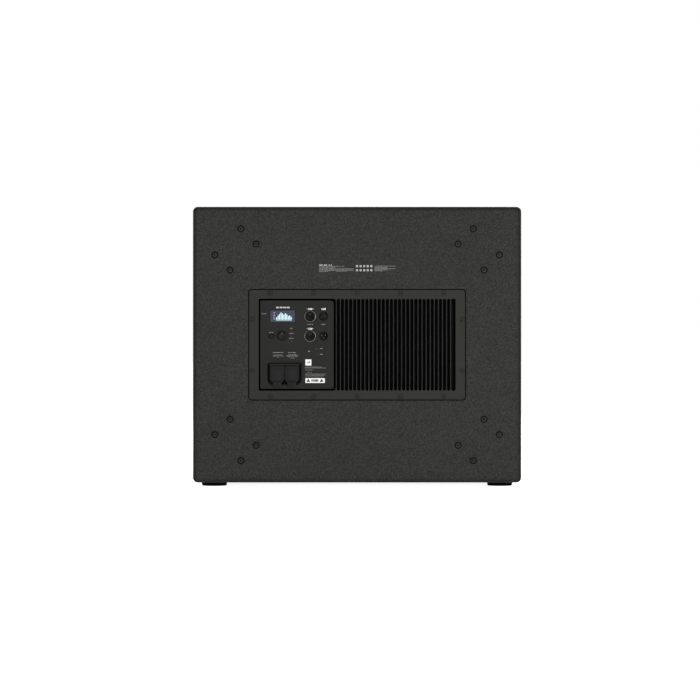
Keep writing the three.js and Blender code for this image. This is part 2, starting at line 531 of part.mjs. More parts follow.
/** The moulded rubber weather cover: a frame with a header, and two flaps that swing up from it. */
function powerCover() {
  const { halfW, z: [z0, z1], thick, taper, nip, wellR, hingeZ, hingeY, headerFoot } = COVER;
  const [yBack, yFront] = [PANEL.face, PANEL.face + thick];
  const outline = polygon([[-halfW, z0 + taper], [taper - halfW, z0], [halfW - taper, z0],
    [halfW, z0 + taper], [halfW, z1 - nip], [halfW - nip, z1], [nip - halfW, z1], [-halfW, z1 - nip]]);
  const header = box([nip - halfW, halfW - nip], [yBack, hingeY - SLACK], [headerFoot, z1]);
  const wells = [-1, 1].map((side) =>
    barY(wellR, [yBack - 1, hingeY + 1], side * MAINS.pitch / 2, MAINS.z, 20));
  const frame = cut(join(slabY(outline, [yBack, yFront]), header), ...wells);
  add(amplifier, 'power_cover_frame', frame, RUBBER, [MAINS.x, 0, 0]);

  const { flapW, flapBottom, flapR, flapSplay, plugR, tab } = COVER;
  const flapTop = hingeZ - SLACK;
  const flapY = [yFront + SLACK, hingeY];
  const flap = join(
    slabY(roundedRect(flapW, flapTop - flapBottom, flapR, 0, (flapTop + flapBottom) / 2), flapY, 3),
    box(about(0, flapW / 2), flapY, [flapTop - flapR - 2, flapTop]),
    barY(plugR, [yBack + 1, flapY[0] + 1], 0, MAINS.z),
    slabY(roundedRect(...tab, 0, flapBottom + 0.5), [flapY[0] + 0.5, hingeY], 3),
  );
  const apart = MAINS.pitch / 2 + flapSplay;
  add(amplifier, 'inlet_cover_flap', flap, RUBBER, [MAINS.x + apart, 0, 0]);
  add(amplifier, 'outlet_cover_flap', flap, RUBBER, [MAINS.x - apart, 0, 0]);
}

// ---------------------------------------------------------------- woofer, in its own frame
// Origin on its axis at the baffle's front face: +y is into the cabinet.
const woofer = new THREE.Group();
woofer.position.set(0, BAFFLE[0], MID_Z);
subwoofer.add(woofer);

/** Cast frame: mounting flange, open legs, spider shelf and seat for the motor. */
function basket() {
  const shell = turnedY([[213, -8], [231, -8], [231, 0], [211, 0], [209, 32], [126, 124], [120, 140],
    [60, 140], [60, 134], [104, 134], [106, 118], [118, 112], [202, 30], [206, 0]]);
  const { sides, window, windowAt: [windowY, windowR], terminals: { x, y, z, turn } } = BASKET;
  const windows = Array.from({ length: sides }, (_, i) =>
    solid(new THREE.BoxGeometry(...window).translate(0, windowY, windowR).rotateY(2 * Math.PI * i / sides)));
  const terminals = box([-x, x], y, z).rotate([0, turn, 0]);
  add(woofer, 'woofer_basket', join(cut(shell, ...windows), terminals), BLACK_STEEL);
  add(woofer, 'woofer_gasket', ring(GASKET.r, GASKET.y), RUBBER);
}

/** A flat ring between two radii. */
const ring = ([inner, outer], [y0, y1]) => turnedY([[inner, y0], [outer, y0], [outer, y1], [inner, y1]]);

/** A ring of ripples from its outer point [radius, y] inwards, sinking evenly to its inner point. */
function rippledRing([outerR, outerY], [innerR, innerY], { waves, height, thick }) {
  const steps = waves * 2;
  const line = (offset) => Array.from({ length: steps + 1 }, (_, i) => {
    const t = i / steps;
    const wave = -height * Math.abs(Math.sin(Math.PI * waves * t));
    return [outerR + (innerR - outerR) * t, outerY + (innerY - outerY) * t + wave + offset];
  });
  return turnedY([...line(0), ...line(-thick).reverse()]);
}

function movingParts() {
  const { outerR, neckR, edgeY, neckY, wall, bend: [bendR, bendY] } = CONE;
  const { lipR, lipY, sink } = SURROUND;
  const ripples = rippledRing([lipR[0] + 0.5, lipY[1]], [outerR + 1, edgeY + sink], SURROUND);
  add(woofer, 'woofer_surround', join(ring(lipR, lipY), ripples), CLOTH);
  add(woofer, 'woofer_cone', turnedY([[outerR, edgeY], [bendR, bendY], [neckR, neckY],
    [neckR, neckY - wall * 1.5], [bendR, bendY - wall * 1.4], [outerR, edgeY - wall]]), PAPER);
  const dome = Array.from({ length: DOME.steps + 1 }, (_, i) => i / DOME.steps * Math.PI / 2)
    .map((a) => [Math.max(0, DOME.r * Math.cos(a)), DOME.y - DOME.rise * Math.sin(a)]);
  const inside = dome.map(([r, y]) => [r * 0.97, y + DOME.wall]).reverse();
  dome[DOME.steps][0] = 0;
  inside[0][0] = 0;
  add(woofer, 'dust_cap', turnedY([...dome, ...inside]), PAPER);
  add(woofer, 'voice_coil', ring([COIL.innerR, COIL.outerR], COIL.y), COPPER);
  const spiderR = [SPIDER.outerR, COIL.outerR + SPIDER.gap];
  add(woofer, 'spider', rippledRing([spiderR[0], SPIDER.outerY], [spiderR[1], SPIDER.innerY], SPIDER),
    YELLOW_CLOTH);
}

function motor() {
  const { plateR, magnetR, magnetInnerR, poleR, ventR, gapR, plateY, magnetY, backY, poleProud } = MOTOR;
  add(woofer, 'top_plate', ring([gapR, plateR], plateY), ZINC);
  add(woofer, 'magnet_ring', ring([magnetInnerR, magnetR], magnetY), FERRITE);
  const poleTop = plateY[0] - poleProud;
  add(woofer, 'back_plate', turnedY([[ventR, backY[1]], [plateR, backY[1]], [plateR, backY[0]],
    [poleR, backY[0]], [poleR, poleTop], [ventR, poleTop]]), ZINC);
}

/** The two-core lead from the amplifier to the woofer's terminals, clipped along the cabinet floor. */
function speakerLead() {
  const extrudePath = new THREE.CatmullRomCurve3(LEAD.route.map((p) => new THREE.Vector3(...p)));
  const section = new THREE.Shape().absarc(0, 0, LEAD.r, 0, 2 * Math.PI);
  const lead = new THREE.ExtrudeGeometry(section, { steps: LEAD.steps, curveSegments: 4, extrudePath });
  add(subwoofer, 'speaker_lead', solid(lead), RUBBER);
}

// ---------------------------------------------------------------- assembly
cabinetPanels();
grilleAndFoam();
feet();
poleSocket();
handle('left', -1);
handle('right', 1);
casterPoints().forEach(casterPlate);
flangeAndChassis();
heatSink();
controlPanel();
electronics();
displayPieces();
encoder();
backButton();
networkSocket('upper_network_socket', SOCKETS.left, SOCKETS.upper);
networkSocket('lower_network_socket', SOCKETS.left, SOCKETS.lower);
xlrInput();
xlrLinkOutput();
latches();
lightGuide('status_light_guide', STATUS_LIGHTS);
lightGuide('network_light_guide', NETWORK_LIGHTS);
mainsSockets();
powerCover();
basket();
movingParts();
motor();
speakerLead();

export default subwoofer;
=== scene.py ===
# %% [markdown]
# # A powered 18-inch subwoofer, seen from behind
#
# The object is a plywood box with a pebbled coating. Its amplifier sits in the rear panel: a smooth
# plate round a control panel and a heat sink. The frame gives every part's place; this lesson makes
# the surfaces. New surfaces are computed with numpy as whole arrays, because a formula says more
# about a shape than a list of clicks, and it can be changed in one place.

# %% Load the frame
import json
import math
import bmesh
import bpy
import numpy as np
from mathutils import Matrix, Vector
from mathutils.geometry import delaunay_2d_cdt


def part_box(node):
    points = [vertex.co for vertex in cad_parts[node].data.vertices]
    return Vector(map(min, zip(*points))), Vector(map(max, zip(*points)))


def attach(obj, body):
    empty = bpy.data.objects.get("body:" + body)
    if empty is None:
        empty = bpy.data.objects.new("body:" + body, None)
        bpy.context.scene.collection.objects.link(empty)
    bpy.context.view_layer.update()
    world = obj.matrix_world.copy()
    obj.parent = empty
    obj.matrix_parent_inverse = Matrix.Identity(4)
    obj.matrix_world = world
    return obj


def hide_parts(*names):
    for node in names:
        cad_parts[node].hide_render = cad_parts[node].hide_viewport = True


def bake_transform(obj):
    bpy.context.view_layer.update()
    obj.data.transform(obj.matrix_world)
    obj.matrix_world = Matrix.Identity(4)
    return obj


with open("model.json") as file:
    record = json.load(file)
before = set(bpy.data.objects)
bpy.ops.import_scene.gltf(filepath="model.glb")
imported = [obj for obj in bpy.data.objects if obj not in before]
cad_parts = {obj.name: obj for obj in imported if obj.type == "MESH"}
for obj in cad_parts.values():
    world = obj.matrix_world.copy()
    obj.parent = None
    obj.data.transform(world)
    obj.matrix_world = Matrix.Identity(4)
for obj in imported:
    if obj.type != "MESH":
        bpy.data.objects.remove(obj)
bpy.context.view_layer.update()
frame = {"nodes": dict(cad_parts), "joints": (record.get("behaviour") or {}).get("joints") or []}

MM = 0.001


# %% Where the parts are
def ends(node):
    """The lowest and the highest corner of a node, as two arrays in millimetres."""
    return tuple(np.array([float(v) for v in corner]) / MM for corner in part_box(node))


def middle(node):
    """The middle of a node's box."""
    return sum(ends(node)) / 2


REAR = ends("rear_panel")[1][1]
FRONT = ends("top_panel")[0][1]
TOP = ends("top_panel")[1][2]
BASE = ends("bottom_panel")[0][2]
HALF_W = ends("top_panel")[1][0]
MID_Z = (TOP + BASE) / 2
PLY = TOP - ends("top_panel")[0][2]
FACE = ends("control_panel")[1][1]
print("rear face at", round(REAR, 4), "middle height", round(MID_Z, 4))

# %% [markdown]
# ## Camera and light
#
# A product picture of a flat panel is taken from far away with a long lens, so that every fin and
# socket is seen from straight ahead. The light is soft and comes from above and from both sides:
# the large lamps give dark coatings their faint sheen without hard spots.

# %% Camera
LENS = 150.0
VIEW_WIDTH = 1448.0
AIM_X, AIM_Z = 14.7, MID_Z - 11
camera_data = bpy.data.cameras.new("camera")
camera_data.lens = LENS
camera = bpy.data.objects.new("camera", camera_data)
bpy.context.collection.objects.link(camera)
camera.location = Vector((AIM_X, REAR + VIEW_WIDTH * LENS / camera_data.sensor_width, AIM_Z)) * MM
camera.rotation_euler = (math.pi / 2, 0, math.pi)
bpy.context.scene.camera = camera
bpy.context.scene.view_settings.view_transform = "Standard"
print("camera at", [round(v, 3) for v in camera.location])


# %% Lamps and the white room
def lamp(name, place, target, size, power):
    """A square soft box at place that looks at target."""
    data = bpy.data.lights.new(name, "AREA")
    data.shape = "SQUARE"
    data.size = size
    data.energy = power
    obj = bpy.data.objects.new(name, data)
    obj.location = place
    obj.rotation_euler = (Vector(target) - Vector(place)).to_track_quat("-Z", "Y").to_euler()
    bpy.context.collection.objects.link(obj)


lamp("key", (-1.7, 5.0, 0.6), (0, 0, 0.3), 2.4, 174)
lamp("fill", (2.4, 4.4, 0.7), (0, 0, 0.3), 2.0, 34)
lamp("front_key", (-1.6, -4.4, 2.4), (0, 0, 0.3), 2.4, 190)
lamp("side_key", (3.9, -3.4, 2.0), (0, 0, 0.3), 2.2, 135)
lamp("side_fill", (-3.9, -3.4, 1.6), (0, 0, 0.3), 2.2, 120)
lamp("top", (0, -0.4, 3.6), (0, 0, 0.3), 2.6, 60)


def white_room(seen, given):
    """A world that is white where the camera looks straight at it, and dimmer as a light."""
    world = bpy.data.worlds.new("white_room")
    bpy.context.scene.world = world
    world.use_nodes = True
    tree = world.node_tree
    sky = tree.nodes["Background"]
    sky.inputs["Color"].default_value = (1, 1, 1, 1)
    span = tree.nodes.new("ShaderNodeMapRange")
    span.inputs["To Min"].default_value = given
    span.inputs["To Max"].default_value = seen
    tree.links.new(tree.nodes.new("ShaderNodeLightPath").outputs["Is Camera Ray"], span.inputs["Value"])
    tree.links.new(span.outputs[0], sky.inputs["Strength"])


white_room(seen=1.0, given=0.24)
print("lamps:", len(bpy.data.lights))


# %% [markdown]
# ## Surfaces as arrays
#
# A closed surface is kept as three arrays: points in millimetres, four-sided faces and triangles. A
# loft skins a stack of rings, and almost everything here is a loft: turned parts are stacks of
# circles, moulded blocks are stacks of rounded rectangles. Flat sheets with holes are triangulated.

# %% Closed surfaces
X_Y_Z, X_Z_Y = [0, 1, 2], [0, 2, 1]


def shape(points, quads=(), tris=()):
    """One closed surface with its faces turned outwards.

    Its volume is a sixth of the sum of a . (b x c) over its triangles; where that is negative,
    every face is reversed."""
    points = np.asarray(points, float).reshape(-1, 3)
    quads = np.asarray(quads, int).reshape(-1, 4)
    tris = np.asarray(tris, int).reshape(-1, 3)
    a, b, c = points[np.vstack([quads[:, :3], quads[:, [0, 2, 3]], tris])].transpose(1, 0, 2)
    if np.einsum("ij,ij->", a, np.cross(b, c)) < 0:
        quads, tris = quads[:, ::-1], tris[:, ::-1]
    return points, quads, tris


def loft(rings, closed=False):
    """Skins a stack of equal rings: point j of ring i joins point j of ring i + 1.

    A closed stack runs back to its first ring; an open one ends in a fan round each end's middle."""
    rings = np.asarray(rings, float)
    count, around = rings.shape[:2]
    i, j = (grid.ravel() for grid in np.meshgrid(
        np.arange(count if closed else count - 1), np.arange(around), indexing="ij"))
    up, on = (i + 1) % count, (j + 1) % around
    quads = np.column_stack([i * around + j, up * around + j, up * around + on, i * around + on])
    if closed:
        return shape(rings, quads)
    here, after = np.arange(around), (np.arange(around) + 1) % around
    last, tips = (count - 1) * around, count * around
    fans = np.vstack([
        np.column_stack([here, after, np.full(around, tips)]),
        np.column_stack([last + after, last + here, np.full(around, tips + 1)]),
    ])
    return shape(np.vstack([rings.reshape(-1, 3), rings[[0, -1]].mean(axis=1)]), quads, fans)


def moved(solid, x=0.0, y=0.0, z=0.0):
    """The same surface, moved."""
    return solid[0] + [x, y, z], solid[1], solid[2]


def reordered(solid, order, signs=(1, 1, 1)):
    """Takes the axes in another order and with other signs, and turns the faces out again."""
    return shape(solid[0][:, order] * signs, solid[1], solid[2])


# %% Rings
def circle(r, sides=48, cx=0.0, cz=0.0):
    """A circle as (x, z) points: (r sin t, r cos t) for t all the way round."""
    t = np.arange(sides) * 2 * math.pi / sides
    return np.column_stack([cx + r * np.sin(t), cz + r * np.cos(t)])


def rounded(w, h, r, cx=0.0, cz=0.0, corner=6, side=4):
    """A rectangle with four quarter circles of radius r and straight sides between.

    r is one number, or four: upper +x, upper -x, lower -x, lower +x."""
    r = np.maximum(np.broadcast_to(r, 4), 0.01)[:, None, None]
    turns = np.arange(4)[:, None] * math.pi / 2 + np.linspace(0, math.pi / 2, corner + 1)
    signs = np.array([[1, 1], [-1, 1], [-1, -1], [1, -1]])[:, None]
    arcs = signs * (np.array([w, h]) / 2 - r) + r * np.stack([np.cos(turns), np.sin(turns)], axis=-1)
    start, stop = arcs[:, -1][:, None], np.roll(arcs[:, 0], -1, axis=0)[:, None]
    straight = start + np.linspace(0, 1, side + 1)[1:-1, None] * (stop - start)
    return np.concatenate([arcs, straight], axis=1).reshape(-1, 2) + [cx, cz]


def hexagon(across, sides=24, cx=0.0, cz=0.0):
    """A hexagon given by its width across flats, sampled at even angles: radius a / cos(t - flat)."""
    t = np.arange(sides) * 2 * math.pi / sides
    r = across / 2 / np.cos((t % (math.pi / 3)) - math.pi / 6)
    return np.column_stack([cx + r * np.sin(t), cz + r * np.cos(t)])


def at(ring, y):
    """Lifts an (x, z) ring into the plane at y."""
    return np.column_stack([ring[:, 0], np.full(len(ring), y), ring[:, 1]])


# %% Turned parts, blocks, sheets and sections
def turned(profile, cx=0.0, cz=0.0, sides=64, closed=True):
    """Circles of each (radius, y) of a profile. A profile that meets the axis is open, with fans."""
    return loft([at(circle(r, sides, cx, cz), y) for r, y in profile], closed)


def raised(profile, base):
    """The (radius, y) pairs of a profile, with base added to every y."""
    return [(r, base + y) for r, y in profile]


def block(w, h, r, steps, cx=0.0, cz=0.0, corner=6, side=4):
    """A moulded block: rounded rectangles, each drawn in by the first number of its step, at its y."""
    r = np.asarray(r)
    return loft([at(rounded(w - 2 * d, h - 2 * d, r - d, cx, cz, corner, side), y) for d, y in steps])


def edge(back, front, bevel, segments=3):
    """Steps for block(): straight up from back, then a quarter-round edge of radius bevel at front."""
    turn = np.linspace(0, math.pi / 2, segments + 1)
    side = math.copysign(1, front - back)
    return [(0, back), *[(bevel * (1 - math.cos(a)), front - side * bevel * (1 - math.sin(a))) for a in turn]]


def sense(ring):
    """1 for a ring that runs anticlockwise, and -1 for one that runs clockwise: the sign of its area."""
    x, z = ring.T
    return math.copysign(1, np.sum(x * np.roll(z, -1) - np.roll(x, -1) * z))


def offset(ring, d):
    """Moves each point of a ring outwards along the bisector of its two edges."""
    along = np.roll(ring, -1, axis=0) - ring
    normal = np.column_stack([along[:, 1], -along[:, 0]]) / np.linalg.norm(along, axis=1)[:, None]
    bisector = normal + np.roll(normal, 1, axis=0)
    length = np.maximum(np.sum(bisector * normal, axis=1), 0.5)[:, None]
    return ring + d * sense(ring) * bisector / length


def inside(places, loops):
    """Which places lie inside an odd number of loops, by the edges that a line towards +x meets."""
    a = np.vstack(loops)
    b = np.vstack([np.roll(ring, -1, axis=0) for ring in loops])
    rise = np.where(b[:, 1] == a[:, 1], 1.0, b[:, 1] - a[:, 1])
    meets = (a[:, 1] > places[:, 1:]) != (b[:, 1] > places[:, 1:])
    where = a[:, 0] + (places[:, 1:] - a[:, 1]) * (b[:, 0] - a[:, 0]) / rise
    return (meets & (places[:, :1] < where)).sum(axis=1) % 2 == 1


def sheet(outline, holes, back, front, bevel=0.3):
    """A flat plate with holes, and a small chamfer round every front edge.

    Each loop makes a wall of three rings. The faces between the loops are Delaunay triangles, as
    even as the points allow, and one that runs anticlockwise in (x, z) looks towards -y."""
    loops = [ring if sense(ring) > 0 else ring[::-1] for ring in (outline, *holes)]
    lip = math.copysign(bevel, front - back)
    rows = [[at(ring, back), at(ring, front - lip), at(offset(ring, bevel * (1 if n else -1)), front)]
            for n, ring in enumerate(loops)]
    sizes = [len(ring) for ring in loops]
    starts = np.cumsum([0, *sizes])
    total = starts[-1]
    quads = []
    for n, (size, start) in enumerate(zip(sizes, starts)):
        here, after = start + np.arange(size), start + (np.arange(size) + 1) % size
        for low in (0, total):
            wall = np.column_stack([here + low, after + low, after + low + total, here + low + total])
            quads.append(wall if n else wall[:, ::-1])
    points = np.vstack([np.vstack([row[level] for row in rows]) for level in range(3)])
    sides = np.concatenate([start + np.column_stack([np.arange(size), (np.arange(size) + 1) % size])
                            for size, start in zip(sizes, starts)])
    flat = [Vector(place) for place in np.vstack(loops)]
    _, _, faces, same_as, _, _ = delaunay_2d_cdt(flat, sides.tolist(), [], 2, 1e-5)
    caps = np.array([min(same) for same in same_as])[np.array(faces)]
    caps = caps[inside(np.vstack(loops)[caps].mean(axis=1), loops)]
    a, b, c = points[caps].transpose(1, 0, 2)
    area = (b - a)[:, 0] * (c - a)[:, 2] - (b - a)[:, 2] * (c - a)[:, 0]
    caps = np.where(area[:, None] > 0, caps, caps[:, ::-1])
    return shape(points, np.vstack(quads), np.vstack([caps, caps[:, ::-1] + 2 * total]))


print("a test sheet has", len(sheet(rounded(100, 100, 10), [circle(20)], 0, 2)[2]), "triangles")


# %% [markdown]
# ## From arrays to objects
#
# One function makes every object: it joins closed surfaces, gives each its material, marks the
# edges that should stay crisp, hangs the piece on the body it rides on, and hides the plain solids
# it stands for.

# %% Pieces
CRISP = math.radians(35)


def piece(name, parts, replaces="", body="cabinet"):
    """One object in metres from a list of (surface or list of surfaces, material) in millimetres.

    body is what it rides on, or None if it bends; replaces names the plain solids it stands for."""
    parts = [(one, finish) for some, finish in parts for one in (some if isinstance(some, list) else [some])]
    materials = list(dict.fromkeys(finish for _, finish in parts))
    points = np.vstack([solid[0] for solid, _ in parts])
    firsts = np.cumsum([0, *[len(solid[0]) for solid, _ in parts]])
    quads = np.vstack([solid[1] + n for (solid, _), n in zip(parts, firsts)])
    tris = np.vstack([solid[2] + n for (solid, _), n in zip(parts, firsts)])
    index = np.concatenate([np.full(len(solid[k]), materials.index(finish))
                            for k in (1, 2) for solid, finish in parts])
    mesh = bpy.data.meshes.new(name)
    mesh.vertices.add(len(points))
    mesh.vertices.foreach_set("co", points.ravel() * MM)
    mesh.loops.add(4 * len(quads) + 3 * len(tris))
    mesh.loops.foreach_set("vertex_index", np.concatenate([quads.ravel(), tris.ravel()]))
    mesh.polygons.add(len(quads) + len(tris))
    starts = np.concatenate([4 * np.arange(len(quads)), 4 * len(quads) + 3 * np.arange(len(tris))])
    mesh.polygons.foreach_set("loop_start", starts)
    for finish in materials:
        mesh.materials.append(finish)
    mesh.polygons.foreach_set("material_index", index)
    mesh.update(calc_edges=True)
    mesh.validate()
    mesh.shade_smooth()
    mesh.set_sharp_from_angle(angle=CRISP)
    obj = bpy.data.objects.new(name, mesh)
    bpy.context.collection.objects.link(obj)
    if body:
        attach(obj, body)
    if replaces:
        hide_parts(*replaces.split())
    return obj


# %% [markdown]
# ## Finishes
#
# Real finishes are never one flat colour. Shared effects are node groups: tone that drifts over a
# panel, a grain for moulded and coated skins, wear along a box's edges that also gives painted shade
# along its rims, and dust that settles on faces that look up. Each material places the groups it
# needs and keeps its own shader. Patterns read object coordinates in metres, so a grain of one
# millimetre is one millimetre on every part.

# %% Small helpers for node trees
def node(tree, kind, inputs=(), **settings):
    """Adds a node, sets its properties, and sets or links its inputs by name or number."""
    new = tree.nodes.new("ShaderNode" + kind)
    for key, value in settings.items():
        setattr(new, key, value)
    for key, value in dict(inputs).items():
        if isinstance(value, bpy.types.NodeSocket):
            tree.links.new(value, new.inputs[key])
        else:
            new.inputs[key].default_value = value
    return new


def maths(tree, operation, a, b=0.5, clamp=False):
    """One step of arithmetic."""
    return node(tree, "Math", {0: a, 1: b}, operation=operation, use_clamp=clamp).outputs[0]


def blended(tree, factor, a, b, how="MIX"):
    """Mixes two colours."""
    return node(tree, "Mix", {0: factor, 6: a, 7: b}, data_type="RGBA", blend_type=how).outputs[2]


def ranged(tree, value, low, high, to_low=0.0, to_high=1.0):
    """Maps a range of a value to another range, smoothly at both ends."""
    return node(tree, "MapRange", {0: value, 1: low, 2: high, 3: to_low, 4: to_high},
                interpolation_type="SMOOTHSTEP").outputs[0]


def group(name, inputs, outputs):
    """An empty node group with the named inputs {name: (kind, value)} and outputs {name: kind}."""
    tree = bpy.data.node_groups.new(name, "ShaderNodeTree")
    for key, (kind, value) in inputs.items():
        socket = tree.interface.new_socket(key, in_out="INPUT", socket_type=f"NodeSocket{kind}")
        socket.default_value = value
    for key, kind in outputs.items():
        tree.interface.new_socket(key, in_out="OUTPUT", socket_type=f"NodeSocket{kind}")
    return tree, tree.nodes.new("NodeGroupInput").outputs, tree.nodes.new("NodeGroupOutput").inputs


def finished(tree, sockets, **results):
    """Links results to the group's output."""
    for key, value in results.items():
        tree.links.new(value, sockets[key])
    return tree


def here(tree):
    """Object coordinates."""
    return node(tree, "TexCoord").outputs["Object"]


def noise(tree, place, scale, detail, rough=0.5):
    """The outputs of a cloudy noise: its value, then its colour."""
    return node(tree, "TexNoise", {"Vector": place, "Scale": scale, "Detail": detail,
                                   "Roughness": rough}).outputs


# %% Group: tone that drifts
def tone_group():
    """A colour made lighter and darker by two sizes of cloudy noise."""
    tree, given, out = group("drifting_tone", {
        "Colour": ("Color", (0.5, 0.5, 0.5, 1)), "Amount": ("Float", 0.1), "Scale": ("Float", 12.0),
    }, {"Colour": "Color", "Cloud": "Float"})
    broad = noise(tree, here(tree), given["Scale"], 3.0)[0]
    fine_scale = maths(tree, "MULTIPLY", given["Scale"], 14.0)
    fine = noise(tree, here(tree), fine_scale, 2.0)[0]
    cloud = maths(tree, "MULTIPLY_ADD", fine, 0.4)
    tree.links.new(maths(tree, "MULTIPLY", broad, 0.6), cloud.node.inputs[2])
    swing = maths(tree, "MULTIPLY", maths(tree, "SUBTRACT", cloud, 0.5),
                  maths(tree, "MULTIPLY", given["Amount"], 4.0))
    light = node(tree, "HueSaturation", {"Color": given["Colour"], "Value": maths(tree, "ADD", swing, 1.0)})
    return finished(tree, out, Colour=light.outputs[0], Cloud=cloud)


TONE = tone_group()


# %% Group: a pebbled, sprayed coating
def pebble_group():
    """Low rounded pebbles a few millimetres apart with a finer grit over them."""
    tree, given, out = group("pebbles", {"Scale": ("Float", 420.0), "Grit": ("Float", 0.35)},
                             {"Height": "Float", "Pits": "Float"})
    place = here(tree)
    wander = noise(tree, place, 90.0, 2.0)[1]
    bent = node(tree, "VectorMath", {0: wander, 1: (0.006, 0.006, 0.006)}, operation="MULTIPLY")
    place = node(tree, "VectorMath", {0: place, 1: bent.outputs[0]}, operation="ADD").outputs[0]
    cells = node(tree, "TexVoronoi", {"Vector": place, "Scale": given["Scale"], "Smoothness": 0.6},
                 feature="SMOOTH_F1")
    domes = maths(tree, "SUBTRACT", 1.0, cells.outputs["Distance"])
    grit = noise(tree, place, 1400.0, 2.0)[0]
    rough = maths(tree, "MULTIPLY", grit, given["Grit"])
    return finished(tree, out, Height=maths(tree, "ADD", domes, rough),
                    Pits=ranged(tree, cells.outputs["Distance"], 0.35, 0.75))


PEBBLES = pebble_group()


# %% Group: fine grain for moulded plastic, rubber, powder coat and cast metal
def grain_group():
    """Two noises, one stretched if asked, as a height; the second also varies how dull the skin is."""
    tree, given, out = group("skin_grain",
                             {"Scale": ("Float", 900.0), "Stretch": ("Vector", (1.0, 1.0, 1.0))},
                             {"Height": "Float", "Smear": "Float"})
    pulled = node(tree, "Mapping", {"Vector": here(tree), "Scale": given["Stretch"]}).outputs[0]
    grain = noise(tree, pulled, given["Scale"], 3.0)[0]
    smear = noise(tree, here(tree), 34.0, 4.0, 0.6)[0]
    return finished(tree, out, Height=grain, Smear=smear)


GRAIN = grain_group()


# %% Group: wear along the edges of a box, and painted shade along its rims
def edge_group():
    """1 near an edge of a box and 0 on its faces: Rim as it is, Mask broken up by noise. Mask is wear; the
    coating uses Rim for painted shade.

    On each axis, near is how closely |place - centre| comes to the half size, from 0 to 1. Two axes
    are near only along an edge, so the mask is the sum of the products of pairs."""
    tree, given, out = group("edge_wear_and_rim_shade", {
        "Centre": ("Vector", (0.0, 0.0, 0.0)), "Half": ("Vector", (1.0, 1.0, 1.0)), "Reach": ("Float", 0.006),
    }, {"Mask": "Float", "Rim": "Float"})
    away = node(tree, "VectorMath", {0: here(tree), 1: given["Centre"]}, operation="SUBTRACT").outputs[0]
    away = node(tree, "VectorMath", {0: away}, operation="ABSOLUTE").outputs[0]
    short = node(tree, "VectorMath", {0: given["Half"], 1: away}, operation="SUBTRACT").outputs[0]
    apart = node(tree, "SeparateXYZ", {0: short}).outputs
    x, y, z = (ranged(tree, maths(tree, "DIVIDE", part, given["Reach"]), 0.0, 1.0, 1.0, 0.0)
               for part in apart)
    pairs = [maths(tree, "MULTIPLY", a, b) for a, b in ((x, y), (y, z), (z, x))]
    total = maths(tree, "ADD", maths(tree, "ADD", pairs[0], pairs[1]), pairs[2], clamp=True)
    chips = noise(tree, here(tree), 160.0, 5.0, 0.7)[0]
    broken = ranged(tree, chips, 0.46, 0.62)
    return finished(tree, out, Mask=maths(tree, "MULTIPLY", total, broken, clamp=True), Rim=total)


EDGE_WEAR_AND_RIM_SHADE = edge_group()


# %% Group: dust on faces that look up
def dust_group():
    """How far a face looks up, times cloudy noise."""
    tree, given, out = group("settled_dust", {"Amount": ("Float", 0.3)}, {"Mask": "Float"})
    up = node(tree, "SeparateXYZ", {0: node(tree, "NewGeometry").outputs["Normal"]}).outputs[2]
    lying = ranged(tree, up, 0.3, 0.95)
    cloud = noise(tree, here(tree), 22.0, 6.0, 0.65)[0]
    patch = ranged(tree, cloud, 0.35, 0.8)
    return finished(tree, out, Mask=maths(tree, "MULTIPLY", maths(tree, "MULTIPLY", lying, patch),
                                          given["Amount"]))


DUST = dust_group()
print("node groups:", [tree.name for tree in bpy.data.node_groups])


# %% One way to build a finish
def placed(tree, which, **values):
    """Places a node group in a tree, with its inputs set or linked."""
    return node(tree, "Group", values, node_tree=which).outputs


def grey(level, tint=(1.0, 1.0, 1.0)):
    """A linear colour from a screen level of 0 to 255 and a tint."""
    s = level / 255
    linear = s / 12.92 if s <= 0.04045 else ((s + 0.055) / 1.055) ** 2.4
    return tuple(linear * t for t in tint) + (1.0,)


def finish(name, colour, dull, metal=0.0, tone=(0.08, 12.0), grain=(900.0, 0.04), stretch=(1, 1, 1),
           smear=0.08, wear=None, dust=0.0, gloss=0.22, **sockets):
    """A surface with drifting tone, a grain in its normal, and roughness that varies by smear.

    tone is the amount and the scale; grain is the scale and the depth in millimetres; wear is
    (node or two corners, reach in millimetres, colour); gloss is the share of light at the surface."""
    made_here = bpy.data.materials.new(name)
    made_here.use_nodes = True
    tree = made_here.node_tree
    shader = tree.nodes["Principled BSDF"]
    shader.inputs["Metallic"].default_value = metal
    shader.inputs["Specular IOR Level"].default_value = gloss
    for key, value in sockets.items():
        shader.inputs[key.replace("_", " ")].default_value = value
    toned = placed(tree, TONE, Colour=colour, Amount=tone[0], Scale=tone[1])
    skin = placed(tree, GRAIN, Scale=grain[0], Stretch=stretch)
    base = toned["Colour"]
    rough = maths(tree, "MULTIPLY_ADD", maths(tree, "SUBTRACT", skin["Smear"], 0.5), smear * 2)
    rough.node.inputs[2].default_value = dull
    if wear:
        low, high = ends(wear[0]) if isinstance(wear[0], str) else wear[0]
        mask = placed(tree, EDGE_WEAR_AND_RIM_SHADE, Centre=tuple((low + high) / 2 * MM), Half=tuple((high - low) / 2 * MM),
                      Reach=wear[1] * MM)
        base = blended(tree, mask["Mask"], base, wear[2])
    if dust:
        fall = placed(tree, DUST, Amount=dust)["Mask"]
        base = blended(tree, fall, base, grey(150, (1.0, 0.98, 0.94)))
        rough = maths(tree, "ADD", rough, maths(tree, "MULTIPLY", fall, 0.3), clamp=True)
    tree.links.new(base, shader.inputs["Base Color"])
    tree.links.new(rough, shader.inputs["Roughness"])
    bump = node(tree, "Bump", {"Height": skin["Height"], "Distance": grain[1] * MM, "Strength": 1.0})
    tree.links.new(bump.outputs[0], shader.inputs["Normal"])
    return made_here


def opened(mat):
    """A finish's tree, the inputs of its shader, and what colours it so far."""
    inputs = mat.node_tree.nodes["Principled BSDF"].inputs
    return mat.node_tree, inputs, inputs["Base Color"].links[0].from_socket


